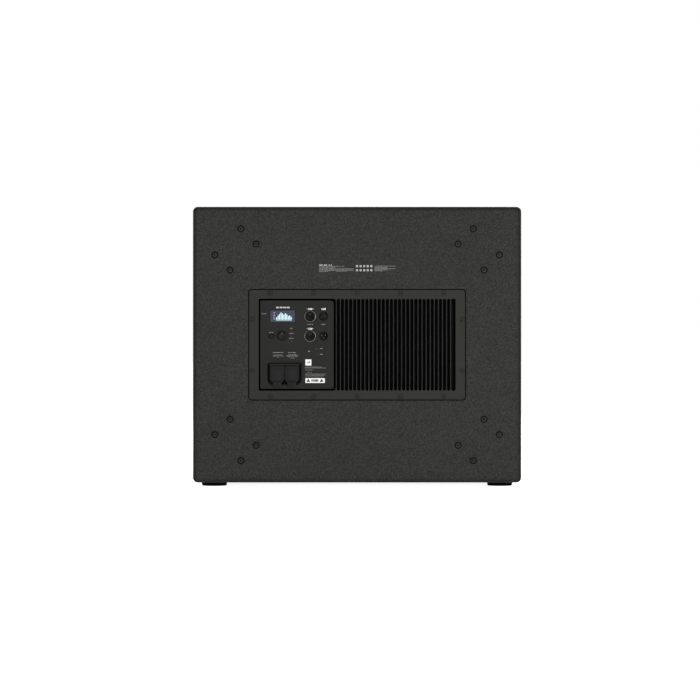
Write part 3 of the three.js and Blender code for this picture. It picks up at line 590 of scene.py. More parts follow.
# %% The cabinet's pebbled coating
def coating():
    """A sprayed two-part coating: pebbled and speckled, with painted shade that darkens it within 12 mm of
    every rim.
    """
    skin = (np.array([-HALF_W, FRONT, BASE]), np.array([HALF_W, REAR, TOP]))
    mat = finish("pebbled_coating", grey(44, (1.0, 1.0, 0.95)), 0.7, tone=(0.06, 7.0), smear=0.1, dust=0.07,
                 wear=(skin, 2.5, grey(50)), gloss=0.12)
    tree, inputs, base = opened(mat)
    pebbles = placed(tree, PEBBLES, Scale=430.0, Grit=0.4)
    bump = node(tree, "Bump", {"Height": pebbles["Height"], "Distance": 0.8 * MM, "Strength": 1.0})
    tree.links.new(bump.outputs[0], inputs["Normal"])
    # Painted shade: the pits between the pebbles are darkened towards grey(20).
    dark = blended(tree, maths(tree, "MULTIPLY", pebbles["Pits"], 0.5), base, grey(20))
    speckle = noise(tree, here(tree), 480.0, 4.0, 0.75)[0]
    bright = ranged(tree, speckle, 0.32, 0.68, 0.5, 1.5)
    mottled = node(tree, "HueSaturation", {"Color": dark, "Value": bright}).outputs[0]
    # Painted shade: within 12 mm of every rim of the box the coating is blended towards near black.
    rim = placed(tree, EDGE_WEAR_AND_RIM_SHADE, Centre=tuple(sum(skin) / 2 * MM), Half=tuple((skin[1] - skin[0]) / 2 * MM),
                 Reach=12 * MM)["Rim"]
    rim_painted_shade = blended(tree, maths(tree, "MULTIPLY", rim, 0.85), mottled, grey(12))
    tree.links.new(rim_painted_shade, inputs["Base Color"])
    return mat


COATING = coating()

# %% Coats, plastics and rubber
FLANGE_COAT = finish("smooth_charcoal_coat", grey(34, (1.0, 1.0, 0.91)), 0.55, tone=(0.05, 10.0),
                     grain=(2200.0, 0.02), wear=("amp_flange", 1.5, grey(44)), gloss=0.12)
PANEL_COAT = finish("dark_panel_coat", grey(27, (1.0, 1.0, 0.93)), 0.52, tone=(0.06, 14.0),
                    grain=(2600.0, 0.015), gloss=0.1)
POWDER = finish("black_powder_coat", grey(30), 0.42, tone=(0.08, 10.0), grain=(1500.0, 0.06), dust=0.12)
PLASTIC = finish("moulded_black_plastic", grey(12), 0.45, tone=(0.08, 40.0), grain=(3000.0, 0.02),
                 gloss=0.12)
CAP_PLASTIC = finish("lighter_knob_plastic", grey(13), 0.46, tone=(0.06, 60.0), grain=(3200.0, 0.02),
                     gloss=0.12)
RUBBER = finish("moulded_rubber", grey(20), 0.6, tone=(0.12, 50.0), grain=(2400.0, 0.04), dust=0.06,
                gloss=0.14)
FOOT_RUBBER = finish("black_foot_rubber", grey(5), 0.8, tone=(0.1, 50.0), grain=(1800.0, 0.05),
                     gloss=0.03)
SCREW_BLACK = finish("black_oxide_steel", grey(7), 0.5, tone=(0.12, 90.0), grain=(1800.0, 0.02),
                     gloss=0.07)
# Painted sheen: a lighter grey for the heads of black steel screws, standing in for their lit domes.
SHEEN_PAINTED_HEAD = finish("screw_head_with_painted_sheen", grey(38), 0.5, metal=0.2, tone=(0.2, 120.0), grain=(1800.0, 0.02))

# %% Metals
def anodised():
    """Black anodising, with painted shade that turns the fins near black between them, fading to their own
    tone at their tips.
    """
    mat = finish("black_anodised_fins", grey(36, (1.0, 1.0, 1.02)), 0.5, tone=(0.07, 16.0),
                 grain=(1100.0, 0.03), stretch=(1, 1, 0.02), gloss=0.12)
    tree, inputs, base = opened(mat)
    depth = node(tree, "SeparateXYZ", {0: here(tree)}).outputs[1]
    # Painted shade: more than 5 mm in from the rear face the fins are near black; the anodising's tone shows
    # only near their tips.
    gap_shade_fade = ranged(tree, depth, (REAR - 5) * MM, (REAR - 0.6) * MM)
    tree.links.new(blended(tree, gap_shade_fade, grey(7), base), inputs["Base Color"])
    return mat


ANODISED = anodised()
NICKEL = finish("satin_nickel", grey(158, (1.0, 0.99, 0.97)), 0.42, metal=1.0, tone=(0.06, 90.0),
                grain=(1600.0, 0.01), smear=0.14)
DIE_CAST = finish("grey_die_casting", grey(128), 0.42, metal=0.9, tone=(0.1, 90.0), grain=(1800.0, 0.015))
# Painted shade: the gold is far darker than bright brass, so that contacts deep in their sockets look shaded.
BRASS = finish("gold_flashed_brass", grey(92, (1.0, 0.78, 0.42)), 0.4, metal=1.0, tone=(0.06, 120.0))
ZINC = finish("zinc_plated_steel", grey(168, (1.0, 1.0, 1.02)), 0.38, metal=1.0, tone=(0.14, 60.0),
              grain=(500.0, 0.02), smear=0.16)
STEEL_BAR = finish("turned_steel", grey(120), 0.35, metal=1.0, tone=(0.08, 60.0), grain=(1400.0, 0.02),
                   stretch=(1, 0.05, 1))
COPPER = finish("wound_copper", grey(190, (1.0, 0.52, 0.28)), 0.3, metal=1.0, tone=(0.12, 80.0),
                grain=(3000.0, 0.08), stretch=(0.02, 1, 0.02))
FERRITE = finish("sintered_ferrite", grey(46), 0.6, metal=0.2, tone=(0.14, 60.0), grain=(900.0, 0.06))

# %% Print, paper, cloth and foam
PRINT_GREY = finish("grey_print", grey(114), 0.6, tone=(0.2, 300.0), gloss=0.1)
PRINT_MID = finish("middle_print", grey(112), 0.6, tone=(0.18, 300.0), gloss=0.1)
PRINT_LIGHT = finish("light_print", grey(160), 0.6, tone=(0.16, 300.0))
STICKER = finish("white_sticker", grey(214), 0.45, tone=(0.04, 60.0))
PAPER = finish("treated_paper_cone", grey(42, (1.0, 0.97, 0.92)), 0.72, tone=(0.2, 60.0), grain=(800.0, 0.2))
CLOTH = finish("doped_cloth", grey(34), 0.62, tone=(0.14, 80.0), grain=(1600.0, 0.2))
SPIDER_CLOTH = finish("dipped_cotton", grey(178, (1.0, 0.72, 0.34)), 0.75, tone=(0.2, 90.0),
                      grain=(1800.0, 0.2))
FOAM = finish("open_cell_foam", grey(24), 0.95, tone=(0.4, 300.0), grain=(700.0, 0.9))
print("finishes:", len(bpy.data.materials))


# %% [markdown]
# ## Wood, boards and lamps
#
# These finishes have patterns of their own: birch plywood shows layers at its edges and grain on
# its faces, a circuit board has tracks, and the display and its marks give light.

# %% Birch plywood
def plywood():
    """Layers 1.4 mm thick across the sheet (x) and long grain down the face (z)."""
    mat = finish("birch_plywood", grey(190, (1.0, 0.82, 0.58)), 0.6, tone=(0.1, 14.0), grain=(260.0, 0.08),
                 stretch=(1, 1, 0.06))
    tree, inputs, base = opened(mat)
    stretched = node(tree, "Mapping", {"Vector": here(tree), "Scale": (1.0, 1.0, 0.05)}).outputs[0]
    streaks = node(tree, "TexNoise", {"Vector": stretched, "Scale": 220.0, "Detail": 5.0, "Distortion": 0.6})
    layers = node(tree, "TexWave", {"Vector": here(tree), "Scale": 110.0, "Distortion": 0.4},
                  bands_direction="X")
    base = blended(tree, ranged(tree, streaks.outputs[0], 0.45, 0.75, 0.0, 0.5), base,
                   grey(150, (1.0, 0.7, 0.42)))
    base = blended(tree, maths(tree, "MULTIPLY", layers.outputs[0], 0.25), base, grey(135, (1.0, 0.72, 0.45)))
    tree.links.new(base, inputs["Base Color"])
    return mat


PLYWOOD = plywood()


# %% Circuit board
def circuit_board():
    """Green solder mask with a net of copper tracks showing through as lighter lines."""
    mat = finish("circuit_board", grey(74, (0.35, 1.0, 0.5)), 0.35, tone=(0.08, 40.0), Coat_Weight=0.3)
    tree, inputs, base = opened(mat)
    bricks = node(tree, "TexBrick", {"Vector": here(tree), "Scale": 120.0, "Mortar Size": 0.03,
                                               "Color1": (0, 0, 0, 1), "Color2": (0, 0, 0, 1),
                                               "Mortar": (1, 1, 1, 1)})
    tree.links.new(blended(tree, maths(tree, "MULTIPLY", bricks.outputs[0], 0.6), base,
                           grey(120, (0.5, 1.0, 0.55))),
                   inputs["Base Color"])
    return mat


BOARD = circuit_board()


# %% Things that give light
def glowing(name, colour, dim, bright, power):
    """A backlight whose brightness drifts: emission between two colours by cloudy tone."""
    mat = finish(name, colour, 0.3, tone=(0.02, 60.0), Coat_Weight=0.25)
    tree, inputs, base = opened(mat)
    cloud = placed(tree, TONE, Colour=colour, Amount=0.1, Scale=30.0)["Cloud"]
    tree.links.new(blended(tree, ranged(tree, cloud, 0.3, 0.7), dim, bright), inputs["Emission Color"])
    inputs["Emission Strength"].default_value = power
    return mat


BACKLIGHT = glowing("display_backlight", grey(9), (0.036, 0.037, 0.066, 1), (0.047, 0.049, 0.084, 1), 1.0)
SEGMENTS = glowing("display_segments", grey(90), (0.52, 0.84, 0.92, 1), (0.74, 0.97, 1.0, 1), 1.1)
LAMP_OFF = finish("unlit_light_pipe", grey(40, (1.0, 1.0, 1.05)), 0.15, tone=(0.05, 200.0), Coat_Weight=0.6)
print("finishes:", len(bpy.data.materials))


# %% [markdown]
# ## The cabinet
#
# Top, bottom, sides and rear are separate sheets of plywood, but the coating bridges every joint,
# so from outside the cabinet is one skin. It is one closed loft of rounded rectangles: in at the
# front rim, round it, along the outside, round the rear rim, across the rear to the amplifier's
# rebate, through the panel and back along the inside. Handles and the pole socket are cut after.

# %% The skin as a stack of rectangles
RIM, CORNER = 8, 10
REBATE_H, REBATE_DEPTH, REBATE_R, REBATE_GAP = 230.8, 3, 7.9, 1.9
OPENING_W, OPENING_H, OPENING_R = 420, 203, 4


def cabinet_rings():
    """Rings of (width, height, corner radius, y); a rim is a quarter circle of inset and y."""
    w, h = 2 * HALF_W, TOP - BASE
    inner = (w - 2 * PLY, h - 2 * PLY, 2)
    arc = np.linspace(0, math.pi / 2, 7)
    front = [(RIM * (1 - math.sin(a)), FRONT + RIM * (1 - math.cos(a))) for a in arc]
    rear = [(RIM * (1 - math.cos(a)), REAR - RIM * (1 - math.sin(a))) for a in arc]
    outside = [(w - 2 * d, h - 2 * d, max(CORNER - d, 3), y) for d, y in front + rear]
    lip = [(inner[0] + 4 * (1 - math.cos(a)), inner[1] + 4 * (1 - math.cos(a)), 3,
            FRONT + 2 * (1 - math.sin(a))) for a in np.linspace(0, math.pi / 2, 4)]
    rebate_w = 2 * (ends("amp_flange")[1][0] + REBATE_GAP)
    cut = [(rebate_w + 2 * d, REBATE_H + 2 * d, REBATE_R + d, REAR - y)
           for d, y in ((3, 0), (0.8, 0), (0.24, 0.24), (0, 0.8), (0, REBATE_DEPTH))]
    ledge = [(OPENING_W, OPENING_H, OPENING_R, REAR - y) for y in (REBATE_DEPTH, PLY)]
    return [*lip, *outside, *cut, *ledge, (*inner, REAR - PLY), (*inner, ends("front_baffle")[1][1])]


def cabinet_skin():
    """The stack as one closed object."""
    rings = [at(rounded(w, h, r, 0, MID_Z, 6, 10), y) for w, h, r, y in cabinet_rings()]
    return piece("cabinet_shell", [(loft(rings, closed=True), COATING)],
                 replaces="top_panel bottom_panel left_side_panel right_side_panel rear_panel")


shell = cabinet_skin()
print("cabinet skin:", len(shell.data.polygons), "faces")


# %% Cut the handle mouths and the pole hole
def cut_away(obj, cutters):
    """Takes closed surfaces away from an object, exactly, and applies the result."""
    tools = []
    for number, solid in enumerate(cutters):
        mesh = bpy.data.meshes.new("cutter")
        mesh.from_pydata((solid[0] * MM).tolist(), [], [f.tolist() for f in (*solid[1], *solid[2])])
        tool = bpy.data.objects.new("cutter", mesh)
        bpy.context.collection.objects.link(tool)
        modifier = obj.modifiers.new(f"cut_{number}", "BOOLEAN")
        modifier.object = tool
        modifier.solver = "EXACT"
        tools.append(tool)
    graph = bpy.context.evaluated_depsgraph_get()
    result = bpy.data.meshes.new_from_object(obj.evaluated_get(graph))
    work = bmesh.new()
    work.from_mesh(result)
    bmesh.ops.remove_doubles(work, verts=work.verts, dist=0.01 * MM)
    bmesh.ops.holes_fill(work, edges=work.edges, sides=4)
    bmesh.ops.recalc_face_normals(work, faces=work.faces)
    work.to_mesh(result)
    work.free()
    obj.modifiers.clear()
    obj.data = result
    for tool in tools:
        bpy.data.objects.remove(tool)
    obj.data.shade_smooth()
    obj.data.set_sharp_from_angle(angle=CRISP)


def facing_side(solid, side):
    """Turns a surface that faces +y so that it faces +x (side 1) or -x (side -1)."""
    return reordered(solid, [1, 0, 2], (side, 1, 1))


HANDLE_Y, HANDLE_Z = middle("right_handle")[1:]
HANDLE_LOW, HANDLE_HIGH = ends("right_handle")
PLATE_W, PLATE_H = (HANDLE_HIGH - HANDLE_LOW)[1:]
MOUTH_W, MOUTH_H = 180, 100
SHEET = 3
BEYOND = 20
cutters = []
for side in (-1, 1):
    cutters += [facing_side(block(w + 1, h + 1, r, [(0, HALF_W - deep), (0, HALF_W + BEYOND)], HANDLE_Y,
                                  HANDLE_Z),
                            side) for w, h, r, deep in ((PLATE_W, PLATE_H, 14.5, SHEET),
                                                        (MOUTH_W, MOUTH_H, 12.5, 40))]
POLE_R, POLE_BORE = ends("pole_socket")[1][0], 21.5
for radius, depth in ((POLE_R + 0.4, SHEET), (POLE_BORE, 40)):
    column = turned([(radius, TOP - depth), (radius, TOP + BEYOND)], sides=96, closed=False)
    cutters.append(reordered(column, X_Z_Y))
cut_away(shell, cutters)
print("cabinet skin after cutting:", len(shell.data.polygons), "faces")

# %% [markdown]
# ## The amplifier's face
#
# A smooth steel plate sits flush in the rebate, fixed by countersunk screws in small holes. Its
# window shows the control panel on one side and the fins on the other.

# %% Flange plate
PLATE_LOW, PLATE_HIGH = ends("amp_flange")
FLANGE_W, FLANGE_H = (PLATE_HIGH - PLATE_LOW)[[0, 2]]

WINDOW_W, WINDOW_H = 407, 190
FIN_COUNT, FIN_FIRST, FIN_PITCH, FIN_THICK = 29, 43.1, 8.443, 2.3
FINS_X = FIN_FIRST - np.arange(FIN_COUNT) * FIN_PITCH


def window_outline():
    """A window whose edge is scalloped over the fins: a half circle over every gap, a tooth at every fin."""
    half_w, half_h, r = WINDOW_W / 2, WINDOW_H / 2, (FIN_PITCH - FIN_THICK) / 2
    turn = np.linspace(0, math.pi, 9)
    gaps = (FINS_X[:-1] + FINS_X[1:]) / 2
    over = np.concatenate([np.column_stack([x + r * np.cos(turn), half_h - r + r * np.sin(turn)])
                           for x in gaps])
    quarter = turn[:5]
    corner = np.column_stack([half_w - 3 * (1 - np.cos(quarter)), half_h - 3 * (1 - np.sin(quarter))])
    step = [(FINS_X[0] + 3.6, half_h), (FINS_X[0] + FIN_THICK / 2 + 0.6, half_h - r),
            (FINS_X[0] + FIN_THICK / 2, half_h - r)]
    last = FINS_X[-1] - FIN_THICK / 2
    final = [(last, half_h - r), (last - 0.8, half_h - 1.0), (last - r, half_h)]
    upper = np.concatenate([corner, step, over, final, (corner * (-1, 1))[::-1]])
    return np.concatenate([upper, (upper * (1, -1))[::-1]]) + [0, MID_Z]


WINDOW = window_outline()
ROW_Z, ROW_X, SIDE_X, SIDE_Z = 107.5, 89.7, 217, 53
FLANGE_R, SCREW_HOLE_R = 6, 4.7
flange_screws = [(n * ROW_X, side * ROW_Z) for n in range(-2, 3) for side in (-1, 1)]
flange_screws += [(i * SIDE_X, j * SIDE_Z) for i in (-1, 1) for j in (-1, 1)]
holes = [circle(SCREW_HOLE_R, 32, x, MID_Z + z) for x, z in flange_screws]
flange = sheet(rounded(FLANGE_W, FLANGE_H, FLANGE_R, 0, MID_Z), [WINDOW, *holes], PLATE_LOW[1], REAR, 0.5)
# Painted shade: a black ring under the gap round the plate, so that the gap reads dark.
gap_shade_ring = loft([at(rounded(FLANGE_W + d, FLANGE_H + d, FLANGE_R, 0, MID_Z), REAR + y)
             for d, y in ((0.2, -2.9), (0.2, -1.3), (3.4, -1.3), (3.4, -2.9))], closed=True)
piece("flange_plate", [(flange, FLANGE_COAT), (gap_shade_ring, FOOT_RUBBER)], replaces="amp_flange")


# %% Screws with hexagon sockets
def socket_screw(x, z, y, head_r, head_h, hexagon_w, depth, dome, sides=24):
    """A round head that rises by head_h from y, with a hexagon recess: circles, then hexagons."""
    rings = [(head_r, y), (head_r, y + head_h * (1 - dome))]
    rings += [(head_r * (1 - 0.45 * dome * (1 - math.cos(a))), y + head_h * (1 - dome * (1 - math.sin(a))))
              for a in np.linspace(0.3, 1.3, 4)]
    stack = [at(circle(r, sides, x, z), level) for r, level in rings]
    top = rings[-1][1]
    stack += [at(hexagon(hexagon_w + 0.3, sides, x, z), top), at(hexagon(hexagon_w, sides, x, z), top - 0.2),
              at(hexagon(hexagon_w, sides, x, z), top - depth)]
    return loft(stack)


heads = [socket_screw(x, MID_Z + z, REAR - 1.9, 4.05, 1.5, 3.2, 1.4, 0.25) for x, z in flange_screws]
piece("flange_screws", [(heads, FLANGE_COAT)])
print("flange screws:", len(heads))


# %% [markdown]
# ## Heat sink
#
# The heat sink is an extrusion: one outline, the same all the way up. Each fin is a little thinner
# at its tip than at its root and has a round tip, so light runs down it as a thin line.

# %% Fins
FIN_DEEP = 39


def fin_outline():
    """The comb as (x, depth) points: for each fin up one side, round its tip and down the other."""
    low, high = ends("heat_sink")
    root, tip, foot_half = high[1] - FIN_DEEP, 1.0, 1.35
    crest = high[1] - 0.2
    turn = np.linspace(0, math.pi, 7)
    points = [(high[0], low[1]), (high[0], root)]
    for x in FINS_X:
        points += [(x + foot_half + 0.8, root), (x + foot_half, root + 0.8)]
        points += [(x + tip * math.cos(a), crest - tip + tip * math.sin(a)) for a in turn]
        points += [(x - foot_half, root + 0.8), (x - foot_half - 0.8, root)]
    return np.array([*points, (low[0], root), (low[0], low[1])])


fins_low, fins_high = ends("heat_sink")
fins = reordered(sheet(fin_outline(), [], fins_low[2], fins_high[2], 0.15), X_Z_Y)
piece("heat_sink_fins", [(fins, ANODISED)], replaces="heat_sink")
print("heat sink triangles:", 2 * len(fins[1]) + len(fins[2]))

# %% [markdown]
# ## Control panel
#
# The panel is a thin coated sheet with a hole for every control. All places come from the parts
# that pass through it.

# %% Panel sheet
PANEL_LOW, PANEL_HIGH = ends("control_panel")
PANEL_W, PANEL_H = (PANEL_HIGH - PANEL_LOW)[[0, 2]]
PANEL_X = middle("control_panel")[0]


def across(name):
    """Middle x and z of a node, then its width and height."""
    low, high = ends(name)
    return (low[0] + high[0]) / 2, (low[2] + high[2]) / 2, high[0] - low[0], high[2] - low[2]


def slot_for(name, gap=0.3):
    """A rounded hole round a node, with a gap."""
    x, z, w, h = across(name)
    return rounded(w + 2 * gap, h + 2 * gap, 0.6, x, z, 4, 2)


light_rows = [(136.2, MID_Z + z) for z in (27.8, 17.4, 7.1)] + [(84, MID_Z + z) for z in (-8.6, -20.6)]
button_x, button_z = across("back_button")[:2]


def cover_outline(grow=0.0):
    """The power cover's outline: upright sides, and lower corners cut back by a long taper."""
    low, high = ends("power_cover_frame")
    x0, x1, z0, z1 = low[0] - grow, high[0] + grow, low[2] - grow, high[2] + grow
    taper, nip = 7, 1.5
    return np.array([(x0 + taper, z0), (x1 - taper, z0), (x1 - 2, z0 + 4), (x1, z0 + taper + 1),
                     (x1, z1 - nip), (x1 - nip, z1), (x0 + nip, z1), (x0, z1 - nip), (x0, z0 + taper + 1),
                     (x0 + 2, z0 + 4)])


SHAFT_HOLE_R, NETWORK_HOLE_R, AUDIO_HOLE_R, LIGHT_HOLE_R = 4, 11.1, 9, 1.8
panel_holes = [slot_for("display_lens"), cover_outline(1.9),
               circle(SHAFT_HOLE_R, 32, *across("encoder_knob")[:2]),
               rounded(12.6, 9.2, 4.5, button_x, button_z, 6, 2),
               *[circle(NETWORK_HOLE_R, 48, *across(f"{row}_network_socket")[:2])
                 for row in ("upper", "lower")],
               *[circle(AUDIO_HOLE_R, 48, *across(name)[:2]) for name in ("xlr_input", "xlr_link_output")],
               *[slot_for(name) for name in ("upper_network_latch", "lower_network_latch", "xlr_latch")],
               *[circle(LIGHT_HOLE_R, 20, x, z) for x, z in light_rows]]
panel_edge = rounded(PANEL_W - 2.8, PANEL_H - 3.0, np.array([2, 6.5, 6.5, 2]), PANEL_X, MID_Z)
panel = sheet(panel_edge, panel_holes, PANEL_LOW[1], FACE, 0.25)
piece("control_plate", [(panel, PANEL_COAT)], replaces="control_panel")
print("panel holes:", len(panel_holes))

# %% [markdown]
# ## Sockets
#
# The network sockets have a die-cast ring round a square jack. The three-pole sockets are black:
# one shows three holes, the other three pins. Each is a few turned parts and sheets with holes.

# %% Network sockets
BOARD_FACE = ends("control_board")[1][1]


def jack_mouth(x, z):
    """The square opening of a network jack with the step for the plug's latch below it."""
    half = [(-6, -4), (-2, -4), (-2, -5.6), (2, -5.6), (2, -4), (6, -4), (6, 4.2), (-6, 4.2)]
    return np.array([(x + a, z + b) for a, b in half])


def network_socket(name, label):
    """A thin die-cast ring round a black funnel, the jack with eight contacts, and the tab's spring clip."""
    x, z = across(name)[:2]
    ring = turned(raised((
        (11.0, -20), (11.0, -0.6), (11.6, 0), (11.6, 1.3), (11.4, 1.8), (11.0, 1.9), (10.8, 1.6), (10.7, 1.0),
        (10.7, -20)), FACE), x, z, 72)
    funnel = turned(raised((
        (10.6, -20), (10.6, 0.7), (10.3, 1.1), (9.6, 1.1), (8.9, 0.7), (8.5, -0.4), (8.5, -3.9), (8.5, -20)),
        FACE), x, z, 72)
    insert = sheet(circle(8.45, 64, x, z), [jack_mouth(x, z)], BOARD_FACE + 4, FACE - 3, 0.3)
    floor = turned([(10.7, BOARD_FACE), (10.7, BOARD_FACE + 3.9)], x, z, 48, closed=False)
    tab_x, tab_z = across(name.replace("socket", "latch"))[:2]
    clip = block(16, 0.9, 0.3, edge(FACE - 0.2, FACE + 0.5, 0.2), tab_x, tab_z + 0.4, 3, 2)
    pins = [block(0.45, 1.2, 0.1, [(0, BOARD_FACE + 4), (0, FACE - 14)],
                  x + (n - 3.5) * 1.02, z + 3.4, 2, 1) for n in range(8)]
    piece(label, [([ring, clip], DIE_CAST), ([funnel, insert, floor], PLASTIC), (pins, BRASS)],
          replaces=name)


network_socket("upper_network_socket", "network_socket_top")
network_socket("lower_network_socket", "network_socket_bottom")


# %% Three-pole sockets
def pole_places(x, z, spread, lift):
    """Two poles side by side above and one below, as on every three-pole audio connector."""
    return [(x + a * spread, z + b) for a, b in ((-1, lift), (1, lift), (0, -3.9))]


def socket_rim(x, z, bore):
    """A black rim that laps over the panel, then the bore's own profile."""
    lap = [(8.7, -20), (8.7, -0.5), (9.4, 0), (9.4, 1.0), (8.9, 1.5), (8.4, 1.5)]
    return turned(raised(lap + bore, FACE), x, z)


def input_socket():
    """Black rim, a round well, and an insert with three holes that hold sprung contacts."""
    x, z = across("xlr_input")[:2]
    rim = socket_rim(x, z, [(8.0, 1.1), (8.0, -16), (8.0, -20)])
    spots = pole_places(x, z, 3.7, 1.8)
    insert = sheet(circle(6.9, 48, x, z), [circle(1.5, 20, *spot) for spot in spots],
                   FACE - 12, FACE + 0.4, 0.3)
    floor = turned([(7.95, BOARD_FACE), (7.95, FACE - 12)], x, z, 48, closed=False)
    key = block(2.6, 1.6, 0.3, [(0, FACE - 12), (0, FACE + 0.2)], x, z + 7.2, 2, 1)
    sleeves = [turned(raised(((1.45, -12), (1.45, -9), (1.1, -9), (1.1, -12)), FACE),
                      *spot, 20) for spot in spots]
    piece("input_socket", [([rim, insert, floor, key], PLASTIC), (sleeves, BRASS)], replaces="xlr_input")


def output_socket():
    """A black shell with three round-tipped pins standing in its well."""
    x, z = across("xlr_link_output")[:2]
    rim = socket_rim(x, z, [(7.9, 1.0), (7.9, -15), (7.9, -20)])
    floor = turned([(7.85, BOARD_FACE), (7.85, FACE - 15)], x, z, 48, closed=False)
    tip = [(1.1, -16), (1.1, -4.2), (0.95, -3.6), (0.55, -3.25), (0.2, -3.2)]
    pins = [turned(raised(tip, FACE), *spot, 20, closed=False)
            for spot in pole_places(x, z, 3.7, 1.6)]
    piece("output_socket", [([rim, floor], PLASTIC), (pins, DIE_CAST)],
          replaces="xlr_link_output")


input_socket()
output_socket()


# %% Press tabs over the sockets
def press_tab(node_name, label, body):
    """A bright tab with three ridges for the fingertip, on a tongue that runs back inside."""
    x, z, w, h = across(node_name)
    low, high = ends(node_name)
    head = block(w, h, 0.9, edge(FACE - 1, high[1] - 0.4, 0.5), x, z)
    tongue = block(w - 2, 2, 0.3, [(0, low[1]), (0, FACE - 0.5)], x, low[2] + 1, 2, 1)
    ridges = [block(w - 2.4, 0.55, 0.25, edge(high[1] - 1, high[1], 0.2),
                    x, z + n * 1.1, 3, 2) for n in (-1, 0, 1)]
    piece(label, [([head, tongue, *ridges], NICKEL)], body=body,
          replaces=node_name)


press_tab("upper_network_latch", "network_tab_top", "upper_network_tab")
press_tab("lower_network_latch", "network_tab_bottom", "lower_network_tab")
press_tab("xlr_latch", "input_tab", "xlr_tab")

# %% [markdown]
# ## Knob, button and lights
#
# The knob's grip is a circle whose radius ripples with the angle. A wide dark skirt carries a
# lighter cap with a pointer line.

# %% Rotary knob
KNOB_X, KNOB_Z = across("encoder_knob")[:2]


def fluted(r, depth, y, sides=144, flutes=24):
    """A circle of radius r - depth * (1 + cos(flutes t)) / 2."""
    t = np.arange(sides) * 2 * math.pi / sides
    radius = r - depth * (1 + np.cos(flutes * t)) / 2
    return np.column_stack([KNOB_X + radius * np.sin(t), np.full(sides, y), KNOB_Z + radius * np.cos(t)])


def knob():
    """A turned skirt, a fluted cap whose flutes fade at its rounded edge, and a pointer line."""
    cap_r = 8.8
    skirt = [(3.05, 5.2), (3.05, 1.7), (5.2, 1.6), (5.2, -2.4), (9.6, -2.5), (10.1, -2.3), (10.3, -1.6),
             (10.2, -1.0), (9.4, -0.5), (8.4, -0.3), (8.2, 0.2), (8.2, 5.2)]
    base = turned(raised(skirt, REAR), KNOB_X, KNOB_Z, 96)
    levels = [(0.0, 1.7), (0.0, 2.3), (0.0, 5.6), (0.25, 6.6), (0.9, 7.5), (1.8, 7.9), (2.6, 8.0), (3.0, 7.8),
              (6.0, 7.5)]
    rings = [fluted(cap_r - inset, 0.45 * max(0.0, 1 - inset / 1.2), REAR + y) for inset, y in levels]
    pointer = block(0.8, 4.4, 0.3, edge(REAR + 7.2, REAR + 8.0, 0.15),
                    KNOB_X, KNOB_Z + 5.0, 4, 2)
    piece("level_knob", [(base, PLASTIC), (loft(rings), CAP_PLASTIC), (pointer, PRINT_GREY)],
          body="control_knob", replaces="encoder_knob")


knob()

# %% Back button, lights
low, high = ends("back_button")
cap = block(10.2, 6.8, 3.35, edge(low[1] + 11.5, high[1], 0.8, 4), button_x, button_z, 8, 2)
shoulder = block(14, 10, 1, edge(low[1] + 11.5, low[1] + 15.5, 0.3), button_x, button_z)
stem = turned([(1.5, low[1]), (1.5, low[1] + 12)], button_x, button_z, 20, closed=False)
piece("back_key_cap", [([cap, shoulder, stem], PLASTIC)], body="back_key",
      replaces="back_button")


def light_pipe(node_name, label, spots):
    """Domed pins of radius 1.5 mm, moulded in one with the bar behind the panel."""
    low, high = ends(node_name)
    x, z, w, h = across(node_name)
    bar = block(w, h, 1, edge(low[1], low[1] + 4, 0.4), x, z)
    dome = [(1.5, -5.5), (1.5, 0.1), (1.25, 0.35), (0.7, 0.48), (0.2, 0.5)]
    pins = [turned(raised(dome, FACE), *spot, 24, closed=False) for spot in spots]
    piece(label, [([bar, *pins], LAMP_OFF)], replaces=node_name)


light_pipe("status_light_guide", "status_lights", light_rows[:3])
light_pipe("network_light_guide", "network_lights", light_rows[3:])

# %% [markdown]
# ## Display
#
# A backlit window: a violet-blue field with bright segments. The segments are shallow raised
# blocks, so they stay sharp from any distance: a row of level bars and a scale.

# %% Display window
lens_x, lens_z, lens_w, lens_h = across("display_lens")
lens_low, lens_high = ends("display_lens")
field = block(lens_w - 1, lens_h - 1, 0.8, [(0, lens_low[1]), (0, lens_high[1] - 0.15)], lens_x, lens_z)
bezel = sheet(rounded(lens_w, lens_h, 1, lens_x, lens_z),
              [rounded(lens_w - 1.2, lens_h - 1.2, 0.8, lens_x, lens_z)], lens_low[1], lens_high[1], 0.1)


def segment(x, z, w, h):
    """One lit block on the display, placed from the window's middle, in millimetres."""
    front = lens_high[1] - 0.15
    return block(w, h, 0.15, [(0, front - 0.05), (0, front + 0.06)],
                 lens_x - x, lens_z + z, 2, 1)


heights = np.array([5.0, 8.5, 12.0, 15.0, 13.0, 10.5, 13.5, 11.0, 7.5, 9.0, 6.0])
level_bar = [segment(-12.5 + 3.0 * n, -7.2 + h / 2, 2.0, h) for n, h in enumerate(heights)]
scale = [segment(-17.5, -6.6 + 2.8 * n, 2.6 if n % 2 else 1.4, 0.6) for n in range(6)]
underline = [segment(2.5, -8.6, 32.5, 0.6)]
piece("display_window", [(field, BACKLIGHT), (bezel, PLASTIC), ([*level_bar, *scale, *underline], SEGMENTS)],
      replaces="display_lens")
print("display segments:", len(level_bar) + len(scale) + len(underline))

# %% [markdown]
# ## Mains sockets and their weather cover
#
# A moulded rubber frame with a header carries two flaps. Each flap has a raised border, a plug on
# its back that seals the socket, and a ribbed tab to pull it up by. The sockets show when the
# flaps are lifted, so they are made as carefully as the rest.

